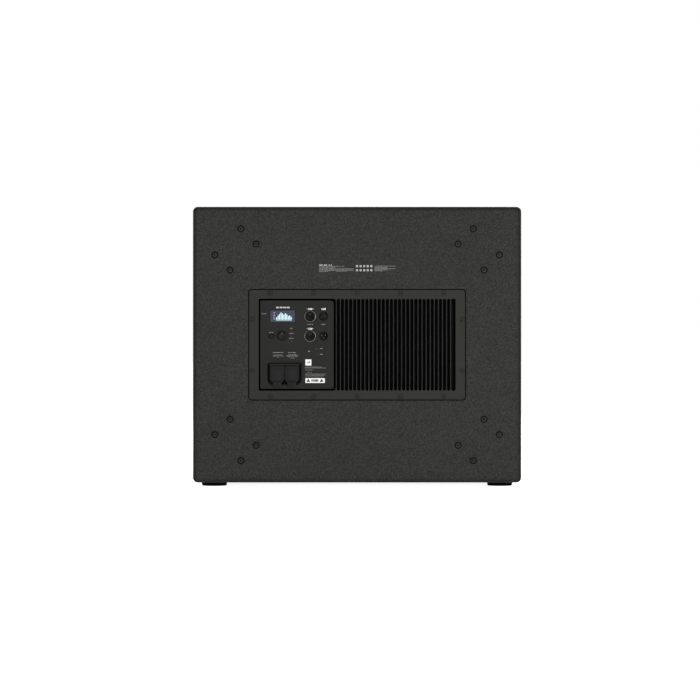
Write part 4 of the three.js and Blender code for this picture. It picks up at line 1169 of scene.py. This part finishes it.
# %% Mains sockets
MAINS_X, MAINS_Z, MAINS_W, MAINS_H = across("mains_socket_block")
MAINS_BACK = ends("mains_socket_block")[0][1]
PITCH, BORE_R, BORE_DEPTH = 29, 9.5, 16
bores = [(MAINS_X + n * PITCH / 2, MAINS_Z) for n in (-1, 1)]
front_block = sheet(rounded(MAINS_W, MAINS_H, 1.5, MAINS_X, MAINS_Z),
                    [circle(BORE_R, 48, *at_) for at_ in bores], FACE - BORE_DEPTH, FACE, 0.4)
rear_block = block(MAINS_W, MAINS_H, 1.5, [(0, MAINS_BACK), (0, FACE - BORE_DEPTH)], MAINS_X, MAINS_Z)
tongues = [block(9, 3.2, 0.6, edge(FACE - BORE_DEPTH - 1, FACE - 5, 0.4), *at_) for at_ in bores]
blades = [block(2, 3.5, 0.2, [(0, FACE - BORE_DEPTH), (0, FACE - 6)], x + n * 3, z, 2, 1)
          for x, z in bores for n in (-1, 0, 1)]
# Painted shade: a black sheet behind the panel, so that the gap round the cover reads dark.
shade_backing_sheet = sheet(cover_outline(4), [circle(BORE_R, 48, *at_) for at_ in bores], PANEL_LOW[1] - 1.4,
             PANEL_LOW[1] - 0.2)
piece("mains_sockets", [(front_block, PLASTIC), (rear_block, PLASTIC), (shade_backing_sheet, SCREW_BLACK),
                        (tongues, PLASTIC), (blades, BRASS)], replaces="mains_socket_block")


# %% Cover frame
frame_high = ends("power_cover_frame")[1]
hinge = next(j for j in frame["joints"] if j["name"] == "inlet_flap_lift")
HINGE_Z = hinge["pos_m"][2] / MM
wells = [circle(10.75, 48, *at_) for at_ in bores]
# Painted shade: the frame plate is black rubber, darker than the flaps' rubber, so that its rim round the
# flaps and the notch under their tabs read as shadow.
shade_black_frame_plate = sheet(cover_outline(), wells, FACE, FACE + 2.6, 0.8)
header = block(63, frame_high[2] - HINGE_Z - 0.2, 1.2, edge(FACE + 2, frame_high[1], 0.7),
               MAINS_X, (frame_high[2] + HINGE_Z + 0.2) / 2)
piece("cover_frame", [(shade_black_frame_plate, FOOT_RUBBER), (header, RUBBER)], replaces="power_cover_frame")


# %% Cover flaps
def flap(node_name, label, body):
    """A plate with a raised border, a sealing plug behind it, and a long pull tab with five ribs."""
    low, high = ends(node_name)
    x, w = (low[0] + high[0]) / 2, high[0] - low[0]
    top, bottom = high[2], low[2] + 5
    z, h = (top + bottom) / 2, top - bottom
    back, front = FACE + 3.3, high[1]
    corners = np.array([3, 3, 11, 11])
    plate = block(w, h, corners, edge(back, front - 0.8, 0.9), x, z, 8, 4)
    border = sheet(rounded(w - 3, h - 3, corners - 1.5, x, z),
                   [rounded(w - 7, h - 7, corners * 0.6, x, z)], front - 1.2, front, 0.4)
    boss = block(w - 12, h - 16, 3, edge(front - 1.2, front - 0.1, 0.6), x, z + 2)
    plug = turned(raised(((8.0, 1.0), (8.6, 1.3), (8.8, 2.0), (8.8, 3.6)), FACE), x, MAINS_Z, 48,
                  closed=False)
    tab = block(18, 15, 3, [(0.3, back + 0.4), *edge(back + 0.7, front, 0.7)],
                x, low[2] + 3.5, 6, 4)
    ribs = [block(12, 0.8, 0.35, edge(front - 0.4, front + 0.3, 0.3),
                  x, low[2] + (1.8 * n - 2), 3, 2) for n in range(5)]
    piece(label, [([plate, border, boss, plug, tab, *ribs], RUBBER)], body=body,
          replaces=node_name)


flap("inlet_cover_flap", "inlet_flap_cover", "inlet_flap")
flap("outlet_cover_flap", "outlet_flap_cover", "outlet_flap")

# %% [markdown]
# ## Print and stickers
#
# Words are left out: each line of print is a row of short bars of uneven length, drawn with a
# seeded random generator so that every run gives the same picture. A sticker is a thin sheet.

# %% Rows of small print
draw = np.random.default_rng(18)
THICK = 0.08


def bar(x, z, w, h, y):
    """A thin raised bar of ink."""
    return block(w, h, 0.2 * min(w, h), [(0, y - THICK / 2), (0, y + THICK)], x, z, 1, 1)


def words(left, z, width, h, y):
    """Bars that fill a line from its left end, as it is read from behind: left is the larger x."""
    bars, used = [], 0.0
    while used < width - 1.2:
        length = min(draw.uniform(1.6, 6.0) * h, width - used)
        bars.append(bar(left - used - length / 2, z, length, h, y))
        used += length + 0.8 * h
    return bars


def lines(left, top, width, count, pitch, h, y):
    """Several lines of print, the last one shorter."""
    rows = [words(left, top - n * pitch, width * (0.6 if n == count - 1 and count > 1 else 1.0), h, y)
            for n in range(count)]
    return [one for row in rows for one in row]


# %% Print on the control panel
def panel_text(u, v, w, h):
    """A line centred u millimetres to the right and v above the panel's middle, as seen from behind."""
    return words(w / 2 - u, MID_Z + v, w, h, FACE)


labels = [(-192.8, 64.0, 9.5, 1.3), (-177.3, 25.0, 9, 1.5), (-136.2, 33.8, 5.6, 1.3), (-136.2, 23.4, 9, 1.4),
          (-136.2, 13.1, 9.4, 1.4), (-97.3, 42.1, 12, 1.4), (-69.5, 42.1, 8.5, 1.4), (-74.1, -7.8, 6, 1.4),
          (-74.1, -19.8, 6, 1.4), (-91.0, -46.3, 34, 1.1), (-86.0, -48.2, 43, 1.0), (-98.8, -52.4, 17, 1.1),
          (-98.8, -57.6, 9, 0.8), (-86.0, -60.6, 43, 0.9), (-86.0, -62.8, 42, 0.9), (-88.5, -65.0, 38, 0.9),
          (-163.4, -16.2, 22, 1.4), (-163.4, -21.4, 18, 1.0), (-163.4, -23.4, 22, 1.0),
          (-163.4, -26.1, 5, 0.9),
          (-134.0, -16.2, 17.5, 1.4), (-134.0, -20.6, 18, 1.0), (-134.0, -22.8, 25, 1.0),
          (-134.0, -24.9, 21, 1.0), (-134.0, -28.2, 9, 0.9)]
ink = [one for label in labels for one in panel_text(*label)]
maker = [bar(153.7 + n * 7.4, MID_Z + 77, 6.2, 3.2, FACE) for n in (-1.5, -0.5, 0.5, 1.5)]
dot = turned([(1.1, FACE - THICK), (1.1, FACE + THICK)], 99.7, MID_Z - 13.8, 24, closed=False)
piece("panel_print", [(ink, PRINT_GREY), (maker, PRINT_LIGHT), (dot, PRINT_LIGHT)])

# %% Stickers
SQUARE_X, SQUARE_Z, STRIP_X, STRIP_Z = 100.9, MID_Z - 36.8, 86.9, MID_Z - 74.2
film = [(0, FACE - THICK), (0, FACE + THICK)]
square = block(12.4, 12.4, 0.6, film, SQUARE_X, SQUARE_Z)
strip = block(40.2, 9.8, 0.8, film, STRIP_X, STRIP_Z)
top_ink = FACE + THICK
checks = [bar(SQUARE_X + 1.3 * i, SQUARE_Z + 0.4 + 1.3 * j, 1.1, 1.1, top_ink)
          for i in range(-2, 3) for j in range(-2, 2) if draw.random() < 0.62]
tally = [bar(94.0 - 1.9 * n, STRIP_Z, draw.uniform(1.3, 1.7), 5.0, top_ink) for n in range(8)]


def mark(x, size):
    """A small three-sided mark, as a thin closed plate."""
    corners = np.array([(0, size), (-size, -0.7 * size), (size, -0.7 * size)]) * 0.8 + [x, STRIP_Z]
    return sheet(corners, [], top_ink - THICK / 2, top_ink + THICK, 0.02)


marks = [mark(101.0, 4.9), mark(73.6, 4.9)]
piece("panel_stickers", [([square, strip], STICKER), ([*checks, *tally, *marks], PLASTIC)])

# %% Rating field on the rear panel
bold = words(78.7, MID_Z + 164.7, 16.6, 2.0, REAR) + words(
    59, MID_Z + 164.7, 7.2, 1.6, REAR)
rating = [one for left, up, *how in (
    (78.7, 162.2, 34.8, 6, 2.2, 1.2), (43.5, 161.8, 18, 1, 2.2, 1.1), (43.2, 157.4, 36, 4, 1.9, 0.9),
    (-36.1, 162.6, 43, 2, 2.2, 1.1), (-36.1, 158.6, 28, 4, 1.9, 1.1), (-65, 157.2, 14.5, 1, 0, 1.2),
) for one in lines(left, MID_Z + up, *how, REAR)]


def small_mark(column, row):
    """A disc, a square or a hexagon with a slot across it: signs without words."""
    x, z = 0.2 - 7.4 * column, MID_Z + 162.4 - 8.4 * row
    outer = (circle(2.4, 24, x, z), rounded(4.2, 4.2, 0.5, x, z),
             hexagon(4.4, 24, x, z))[(column + row) % 3]
    return sheet(outer, [rounded(1.6, 0.9, 0.3, x, z)], REAR - THICK, REAR + THICK, 0.02)


signs = [small_mark(column, row) for column in range(5) for row in range(2)]
piece("rating_print", [(rating, PRINT_MID), ([*bold, *signs], PRINT_LIGHT)])
print("bars of print:", len(ink) + len(rating))


# %% [markdown]
# ## Caster points, feet, handles and pole socket
#
# Everything a stagehand touches: sixteen screws that wait for casters, rubber feet, two sunk
# handles with a bar, and the socket for a loudspeaker pole.

# %% Caster points
CASTER_X, CASTER_Z = 251.6, 197.1
CASTER_PATTERN = 44.45, 76.2


def caster_point(name):
    """Four button-head screws on washers, with a painted sheen on their heads and painted shade in their
    sockets, and the tapped plate behind the panel.
    """
    low, high = ends(f"caster_plate_{name}")
    x, z = (low[0] + high[0]) / 2, (low[2] + high[2]) / 2
    sx, sz = math.copysign(1, x), math.copysign(1, z - MID_Z)
    x, z = CASTER_X * sx, MID_Z + CASTER_Z * sz
    a, b = (pitch / 2 / math.sqrt(2) for pitch in CASTER_PATTERN)
    parts = []
    for i, j in ((1, 1), (1, -1), (-1, 1), (-1, -1)):
        px, pz = x + sx * (i * a - j * b), z + sz * (i * a + j * b)
        washer = turned(raised((
            (7.4, -0.2), (7.4, 0.7), (7.1, 1.0), (3.2, 1.0), (3.2, -0.2)), REAR), px, pz, 40)
        head = socket_screw(px, pz, REAR + 0.9, 4.4, 2.3, 3.6, 1.7, 0.85)
        # Painted shade: a thin black hexagon lies on the floor of each head's socket.
        recess = loft([at(hexagon(3.5, 24, px, pz), REAR + y) for y in (1.52, 1.6)])
        shank = turned([(3, REAR - PLY - 2), (3, REAR + 1.2)], px, pz, 20, closed=False)
        parts += [(washer, SCREW_BLACK), (head, SHEEN_PAINTED_HEAD), (recess, SCREW_BLACK), (shank, SCREW_BLACK)]
    half, cut = 46, 28
    outline = np.array([(-half, cut - half), (cut - half, -half), (half, -half), (half, half - cut),
                        (half - cut, half), (-half, half)]) * [-sx, sz] + [x, z]
    parts.append((sheet(outline, [], REAR - PLY - 4, REAR - PLY, 0.3), ZINC))
    piece(f"caster_point_{name}", parts, replaces=f"caster_plate_{name}")


for corner_name in ("lower_left", "lower_right", "upper_left", "upper_right"):
    caster_point(corner_name)


# %% Feet
def upright(solid, x, y, z=0.0):
    """Stands a surface that was turned about y on end, about z."""
    return moved(reordered(solid, X_Z_Y), x, y, z)


def foot(node_name):
    """A rubber disc with a flared top and a sunk screw."""
    x, y, z = middle(node_name)
    low, high = ends(node_name)
    top, r = high[2] - low[2], (high[0] - low[0]) / 2
    profile = [(7.5, 5.0), (8.2, 0.8), (9.0, 0.0), (r - 2.6, 0.0), (r - 1.5, 0.35), (r - 0.9, 1.1),
               (r - 0.6, 3.0), (r, top - 0.6), (r, top), (3.2, top), (3.2, 5.0)]
    body = upright(turned([(r, h) for r, h in profile], sides=80), x, y)
    screw = upright(socket_screw(0, 0, -5.0, 6.8, 3.2, 4, 1.6, 0.8), x, y)
    screw = reordered(screw, X_Y_Z, (1, 1, -1))
    piece(node_name.replace("foot", "rubber_foot"), [(body, FOOT_RUBBER), (screw, SCREW_BLACK)],
          replaces=node_name)


for foot_name in ("foot_front_left", "foot_front_right", "foot_rear_left", "foot_rear_right"):
    foot(foot_name)


# %% Sunk handles
GRIP_R, GRIP_LONG, ROD_R, ROD_LONG = 14, 140, 8, 176


def sunk_handle(name, side):
    """A pressed dish: in from its floor, up its wall, over the lip, and back along its outside.

    The bar is a round steel rod in a ribbed rubber grip: circles whose radius ripples along it."""
    profile = [(14, 6, -53), (10, 8, -52.6), (8, 9, -51), (4.2, 10, -8), (2.4, 11, -2.5), (0.6, 12, -0.5),
               (-2, 13, 0), (-14.5, 13, 0), (-16, 14, -0.8), (-16, 14, -3), (0, 12, -3), (1, 11, -10),
               (4.5, 10, -53), (8, 8, -56)]
    rings = [at(rounded(MOUTH_W - 2 * d, MOUTH_H - 2 * d, r, HANDLE_Y, HANDLE_Z, 8, 6), HALF_W + y)
             for d, r, y in profile]
    dish = facing_side(loft(rings), side)
    bar_x, bar_z = side * (HALF_W - 16), HANDLE_Z + 22
    along = np.linspace(-GRIP_LONG / 2, GRIP_LONG / 2, GRIP_LONG + 1)
    grooves = np.abs(np.sin(along * math.pi / 5)) < 0.35
    grip_r = GRIP_R - 0.45 * grooves - 1.5 * (np.abs(along) > GRIP_LONG / 2 - 1)
    grip = loft([at(circle(r, 40, bar_x, bar_z), HANDLE_Y + y) for r, y in zip(grip_r, along)])
    rod = turned([(ROD_R, HANDLE_Y - ROD_LONG / 2), (ROD_R, HANDLE_Y + ROD_LONG / 2)], bar_x, bar_z, 32,
                 closed=False)
    bolts = [facing_side(socket_screw(HANDLE_Y + i * 98, HANDLE_Z + j * 56, HALF_W - 0.6, 4.4,
                                      1.8, 3, 1.2, 0.8), side) for i in (-1, 1) for j in (-1, 1)]
    piece(f"{name}_sunk_handle", [(dish, POWDER), (rod, STEEL_BAR), (grip, RUBBER), (bolts, SCREW_BLACK)],
          replaces=f"{name}_handle")


sunk_handle("left", -1)
sunk_handle("right", 1)

# %% Pole socket
pole_profile = [(21, -119), (21, -3), (45, -3), (45, -0.5), (44.5, 0), (19.2, 0), (18.2, -0.4), (17.75, -1.2),
                (17.75, -98), (16.5, -100), (11, -100), (10, -101), (10, -116)]
tube = upright(turned([(r, h) for r, h in [*pole_profile, (3, -116), (3, -119)]], sides=96), 0, 0, TOP)
thread = [upright(turned([(10.05, (h + d)) for d in (-0.6, 0.6)] + [(9.3, h)], sides=48), 0, 0, TOP)
          for h in np.arange(-115, -101, 2.0)]
pole_screws = [moved(reordered(socket_screw(0, 0, -0.6, 4.4, 1.6, 3, 1.2, 0.8), X_Z_Y),
                     32 * math.cos(t), 32 * math.sin(t), TOP)
                     for t in np.arange(4) * math.pi / 2 + math.pi / 4]
piece("pole_cup", [([tube, *thread], POWDER), (pole_screws, SCREW_BLACK)],
      replaces="pole_socket")


# %% [markdown]
# ## Grille
#
# The grille is a steel tray with six-sided holes in staggered rows. Every hole is one cell of a
# honeycomb: a ring of six faces in front, six behind and six down the hole. Neighbouring cells
# share their corners, and the corners that no neighbour shares are joined front to back.

# %% Perforated sheet
def honeycomb(w, h, pitch, hole, back, front, cx, cz):
    """Cell centres at (pitch i + pitch / 2 on odd rows, pitch sqrt(3) / 2 j); corners every 60 degrees."""
    rise = pitch * math.sqrt(3) / 2
    columns, rows = int(w / pitch), int(h / rise)
    i, j = (grid.ravel() for grid in np.meshgrid(np.arange(columns), np.arange(rows), indexing="ij"))
    middles = np.column_stack([pitch * (i + 0.5 * (j % 2)), rise * j])
    middles += [cx, cz] - (middles.min(axis=0) + middles.max(axis=0)) / 2
    t = np.arange(6) * math.pi / 3
    spokes = np.column_stack([np.sin(t), np.cos(t)])
    outer = (middles[:, None] + spokes * pitch / math.sqrt(3)).reshape(-1, 2)
    inner = (middles[:, None] + spokes * hole / math.sqrt(3)).reshape(-1, 2)
    keys = np.round(outer / (pitch * 1e-3)).astype(np.int64)
    _, first, shared = np.unique(keys, axis=0, return_index=True, return_inverse=True)
    corners = outer[first]
    shared = shared.ravel()
    n_out, n_in = len(corners), len(inner)
    here_in = np.arange(n_in)
    next_in = here_in - here_in % 6 + (here_in + 1) % 6
    o_here, o_next = shared, shared[next_in]
    level = n_out + n_in
    front_faces = np.column_stack([o_here, o_next, next_in + n_out, here_in + n_out])
    back_faces = front_faces[:, ::-1] + level
    walls = np.column_stack([here_in + n_out, next_in + n_out, next_in + n_out + level,
                             here_in + n_out + level])
    pairs = np.sort(np.column_stack([o_here, o_next]), axis=1)
    _, index, counts = np.unique(pairs, axis=0, return_index=True, return_counts=True)
    rim = index[counts == 1]
    rim_walls = np.column_stack([o_next[rim], o_here[rim], o_here[rim] + level, o_next[rim] + level])
    flat = np.vstack([corners, inner])
    points = np.vstack([at(flat, front), at(flat, back)])
    return shape(points, np.vstack([front_faces, back_faces, walls, rim_walls]))


grille_low, grille_high = ends("front_grille")
GRILLE_W, GRILLE_H = (grille_high - grille_low)[[0, 2]]
grille_y = grille_low[1]
HOLE_PITCH, HOLE_W, BORDER_W, GRILLE_R = 9, 7.2, 15, 3
mesh_sheet = honeycomb(GRILLE_W - 22, GRILLE_H - 22, HOLE_PITCH, HOLE_W, grille_y + 1.3, grille_y + 0.1, 0,
                       MID_Z)
border_edges = [rounded(GRILLE_W - d, GRILLE_H - d, GRILLE_R, 0, MID_Z) for d in (0, 2 * BORDER_W)]
border = sheet(border_edges[0], border_edges[1:], grille_y + 1.5, grille_y, 0.5)
lip_rings = [(0, 1.2), (0, 8), (1.5, 8), (1.5, 1.2)]
lip = loft([at(rounded(GRILLE_W - 2 * d, GRILLE_H - 2 * d, GRILLE_R - d, 0, MID_Z), grille_y + y)
            for d, y in lip_rings], closed=True)
piece("perforated_grille", [([mesh_sheet, border, lip], POWDER)], replaces="front_grille")
print("grille triangles:", 2 * len(mesh_sheet[1]))

# %% Grille screws and foam
grille_spots = [(x * 0.47 * GRILLE_W, z * 0.46 * GRILLE_H) for x in (-1, 1) for z in (-1, 0, 1)]
grille_spots += [(x, side * 0.4865 * GRILLE_H) for x in (-150, 150) for side in (-1, 1)]
grille_spots = [(math.copysign(GRILLE_W / 2 - 8, x) if abs(x) > 200 else x,
                 math.copysign(GRILLE_H / 2 - 8, z) if abs(x) < 200 else z) for x, z in grille_spots]
screws = [reordered(socket_screw(-x, MID_Z + z, -grille_y - 0.4, 4.6, 1.9, 3, 1.2, 0.85),
                    X_Y_Z, (-1, -1, 1)) for x, z in grille_spots]
piece("grille_screws", [(screws, SCREW_BLACK)])

foam_low, foam_high = ends("grille_foam")
FOAM_W, FOAM_H = (foam_high - foam_low)[[0, 2]]
pad = block(FOAM_W, FOAM_H, 4, [(1.2, foam_low[1]), (0.3, foam_low[1] + 1), (0, foam_low[1] + 2),
                                    (0, foam_high[1] - 2), (0.3, foam_high[1] - 1), (1.2, foam_high[1])],
            0, MID_Z, 6, 24)
piece("foam_sheet", [(pad, FOAM)], replaces="grille_foam")


# %% [markdown]
# ## Woofer
#
# Behind the grille is the woofer. Its round parts are turned from profiles; its frame is a ring, a
# dish and six cast legs. The surround and the spider bend between the frame and the cone, so each
# follows the frame at its outer edge and the cone at its inner one.

# %% Baffle and woofer frame
BAFFLE_LOW, BAFFLE_HIGH = ends("front_baffle")
BAFFLE_HOLE_R, BOLT_CIRCLE_R = 212, 222
baffle = sheet(rounded(BAFFLE_HIGH[0] * 2, BAFFLE_HIGH[2] - BAFFLE_LOW[2], 1, 0, MID_Z),
               [circle(BAFFLE_HOLE_R, 128, 0, MID_Z)], BAFFLE_HIGH[1], BAFFLE_LOW[1], 1)
piece("baffle_board", [(baffle, COATING)], replaces="front_baffle")
W0 = BAFFLE_LOW[1]


def round_part(profile, sides=96):
    """A closed profile in millimetres, turned about the woofer's axis; y counts from the baffle's face."""
    return turned(raised(profile, W0), 0, MID_Z, sides)


def cast_leg(angle):
    """One leg of the frame: a channel whose middle line runs down the dish, wider at its ends."""
    line = np.array([(214, 1), (210, 20), (200, 38), (180, 62), (155, 91), (130, 118), (122, 132)])
    width = np.array([58, 46, 34, 30, 28, 30, 40])
    rings = []
    for (r, y), w in zip(line, width):
        cross = rounded(w, 8, 3, 0, 0, 4, 3)
        tangent, radial = cross[:, 0], r + cross[:, 1] - 4
        rings.append(np.column_stack([radial * math.sin(angle) + tangent * math.cos(angle),
                                      np.full(len(cross), W0 + y),
                                      MID_Z + radial * math.cos(angle) - tangent * math.sin(angle)]))
    return loft(rings)


rim_ring = round_part([(211, 0), (231, 0), (231, -7), (230, -8), (214, -8), (213, -7)], 128)
seat = round_part([(60, 134), (112, 134), (118, 112), (124, 112), (128, 124), (124, 138), (120, 140),
                   (60, 140)])
turns = np.arange(8) * math.pi / 4 + 0.39
bolt_spots = zip(-BOLT_CIRCLE_R * np.sin(turns), MID_Z + BOLT_CIRCLE_R * np.cos(turns))
bolt_ring = [reordered(socket_screw(x, z, 8 - W0, 5, 4, 4, 2.4, 0.3), X_Y_Z, (-1, -1, 1))
             for x, z in bolt_spots]
legs = [cast_leg(a) for a in np.arange(6) * math.pi / 3 + math.pi / 6]
piece("woofer_frame", [([rim_ring, seat, *legs], POWDER), (bolt_ring, SCREW_BLACK)], replaces="woofer_basket")
piece("rim_gasket", [(round_part([(226.8, -12), (231, -11.4), (231, -8), (226.8, -8)]), RUBBER)],
      replaces="woofer_gasket")


# %% Surround and spider
def rippled(outer, inner, y_outer, y_inner, waves, height, thick, points):
    """A wave of the radius on an even slope: y = slope + height * cos(waves turns), and its parallel."""
    t = np.linspace(0, 1, points)
    r = outer + (inner - outer) * t
    y = y_outer + (y_inner - y_outer) * t - height * (1 - np.cos(2 * math.pi * waves * t)) / 2
    return [*zip(r, y), *zip(r[::-1], y[::-1] - thick)]


roll = round_part([(222, -9.2), (222, -8), *rippled(214, 190.2, -8, -6.2, 2, 5, 1.2, 33)], 128)
surround = piece("cloth_surround", [(roll, CLOTH)], body=None, replaces="woofer_surround")
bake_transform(surround)
spider = piece("corrugated_spider", [(round_part(rippled(117, 51.6, 112, 103, 5, 4, 0.8, 61)), SPIDER_CLOTH)],
               body=None, replaces="spider")
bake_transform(spider)

# %% Cone, dust cap, coil and motor
bow = np.linspace(0, 1, 25)
cone_r = 190 + (51.5 - 190) * bow
cone_y = -6 + 100 * bow + 9 * np.sin(math.pi * bow)
cone = [*zip(cone_r, cone_y), *zip(cone_r[::-1], cone_y[::-1] - 2.4)]
piece("paper_cone", [(round_part(cone, 128), PAPER)], body="cone_assembly", replaces="woofer_cone")
arc = np.linspace(0, 0.98, 14) * math.pi / 2
dome = [*zip(62 * np.cos(arc), 76 - 16 * np.sin(arc))]
under = [(r * 0.97, y + 1.6) for r, y in dome[::-1]]
cap_surface = round_part([*dome, *under])
piece("dust_dome", [(cap_surface, PAPER)], body="cone_assembly", replaces="dust_cap")
coil = [(49.2, 88), (50.0, 88), (50.0, 139), (51.2, 139.5), (51.2, 157.5), (50.0, 158), (49.2, 158)]
piece("coil_former", [(round_part(coil), COPPER)], body="cone_assembly", replaces="voice_coil")
piece("front_pole_plate", [(round_part([(52.75, 140), (104, 140), (105, 141), (105, 149), (104, 150),
                                        (52.75, 150)]), ZINC)],
      replaces="top_plate")
piece("ferrite_ring", [(round_part([(62, 150), (108, 150), (110, 152), (110, 174), (108, 176), (62, 176)]),
                        FERRITE)],
      replaces="magnet_ring")
piece("yoke", [(round_part([(14, 137), (46, 137), (48, 139), (48, 174), (50, 176), (103, 176), (105, 178),
                            (105, 188), (103, 190), (16, 190), (14, 188)]), ZINC)], replaces="back_plate")

# %% [markdown]
# ## Parts that keep their plain shape
#
# Inner parts whose solids already have the right shape keep them and get a proper finish.

# %% Finishes for carried-over parts
kept = {
    "left_port_wall": PLYWOOD, "right_port_wall": PLYWOOD, "cross_brace": PLYWOOD, "amp_chassis": SCREW_BLACK,
    "amp_board": BOARD, "power_supply": BOARD, "control_board": BOARD, "display_module": PLASTIC,
    "encoder_body": ZINC, "encoder_plunger": PLASTIC, "encoder_shaft": STEEL_BAR, "speaker_lead": RUBBER,
}
for kept_name, kept_finish in kept.items():
    data = frame["nodes"][kept_name].data
    data.materials.clear()
    data.materials.append(kept_finish)
print("carried over:", len(kept))

# %% [markdown]
# ## Floor
#
# A plain pale floor under the feet, large enough to fade out of every view.

# %% Floor
floor_mesh = bpy.data.meshes.new("floor")
FLOOR_HALF = 60.0
floor_mesh.from_pydata([(x * FLOOR_HALF, y * FLOOR_HALF, 0) for x, y in ((-1, -1), (1, -1), (1, 1), (-1, 1))],
                       [], [(0, 1, 2, 3)])
floor = bpy.data.objects.new("floor", floor_mesh)
bpy.context.collection.objects.link(floor)
floor_mesh.materials.append(finish("pale_floor", grey(235), 0.9, tone=(0.0, 1.0), grain=(50.0, 0.0),
                                   smear=0.0, Emission_Color=(1, 1, 1, 1), Emission_Strength=0.9))
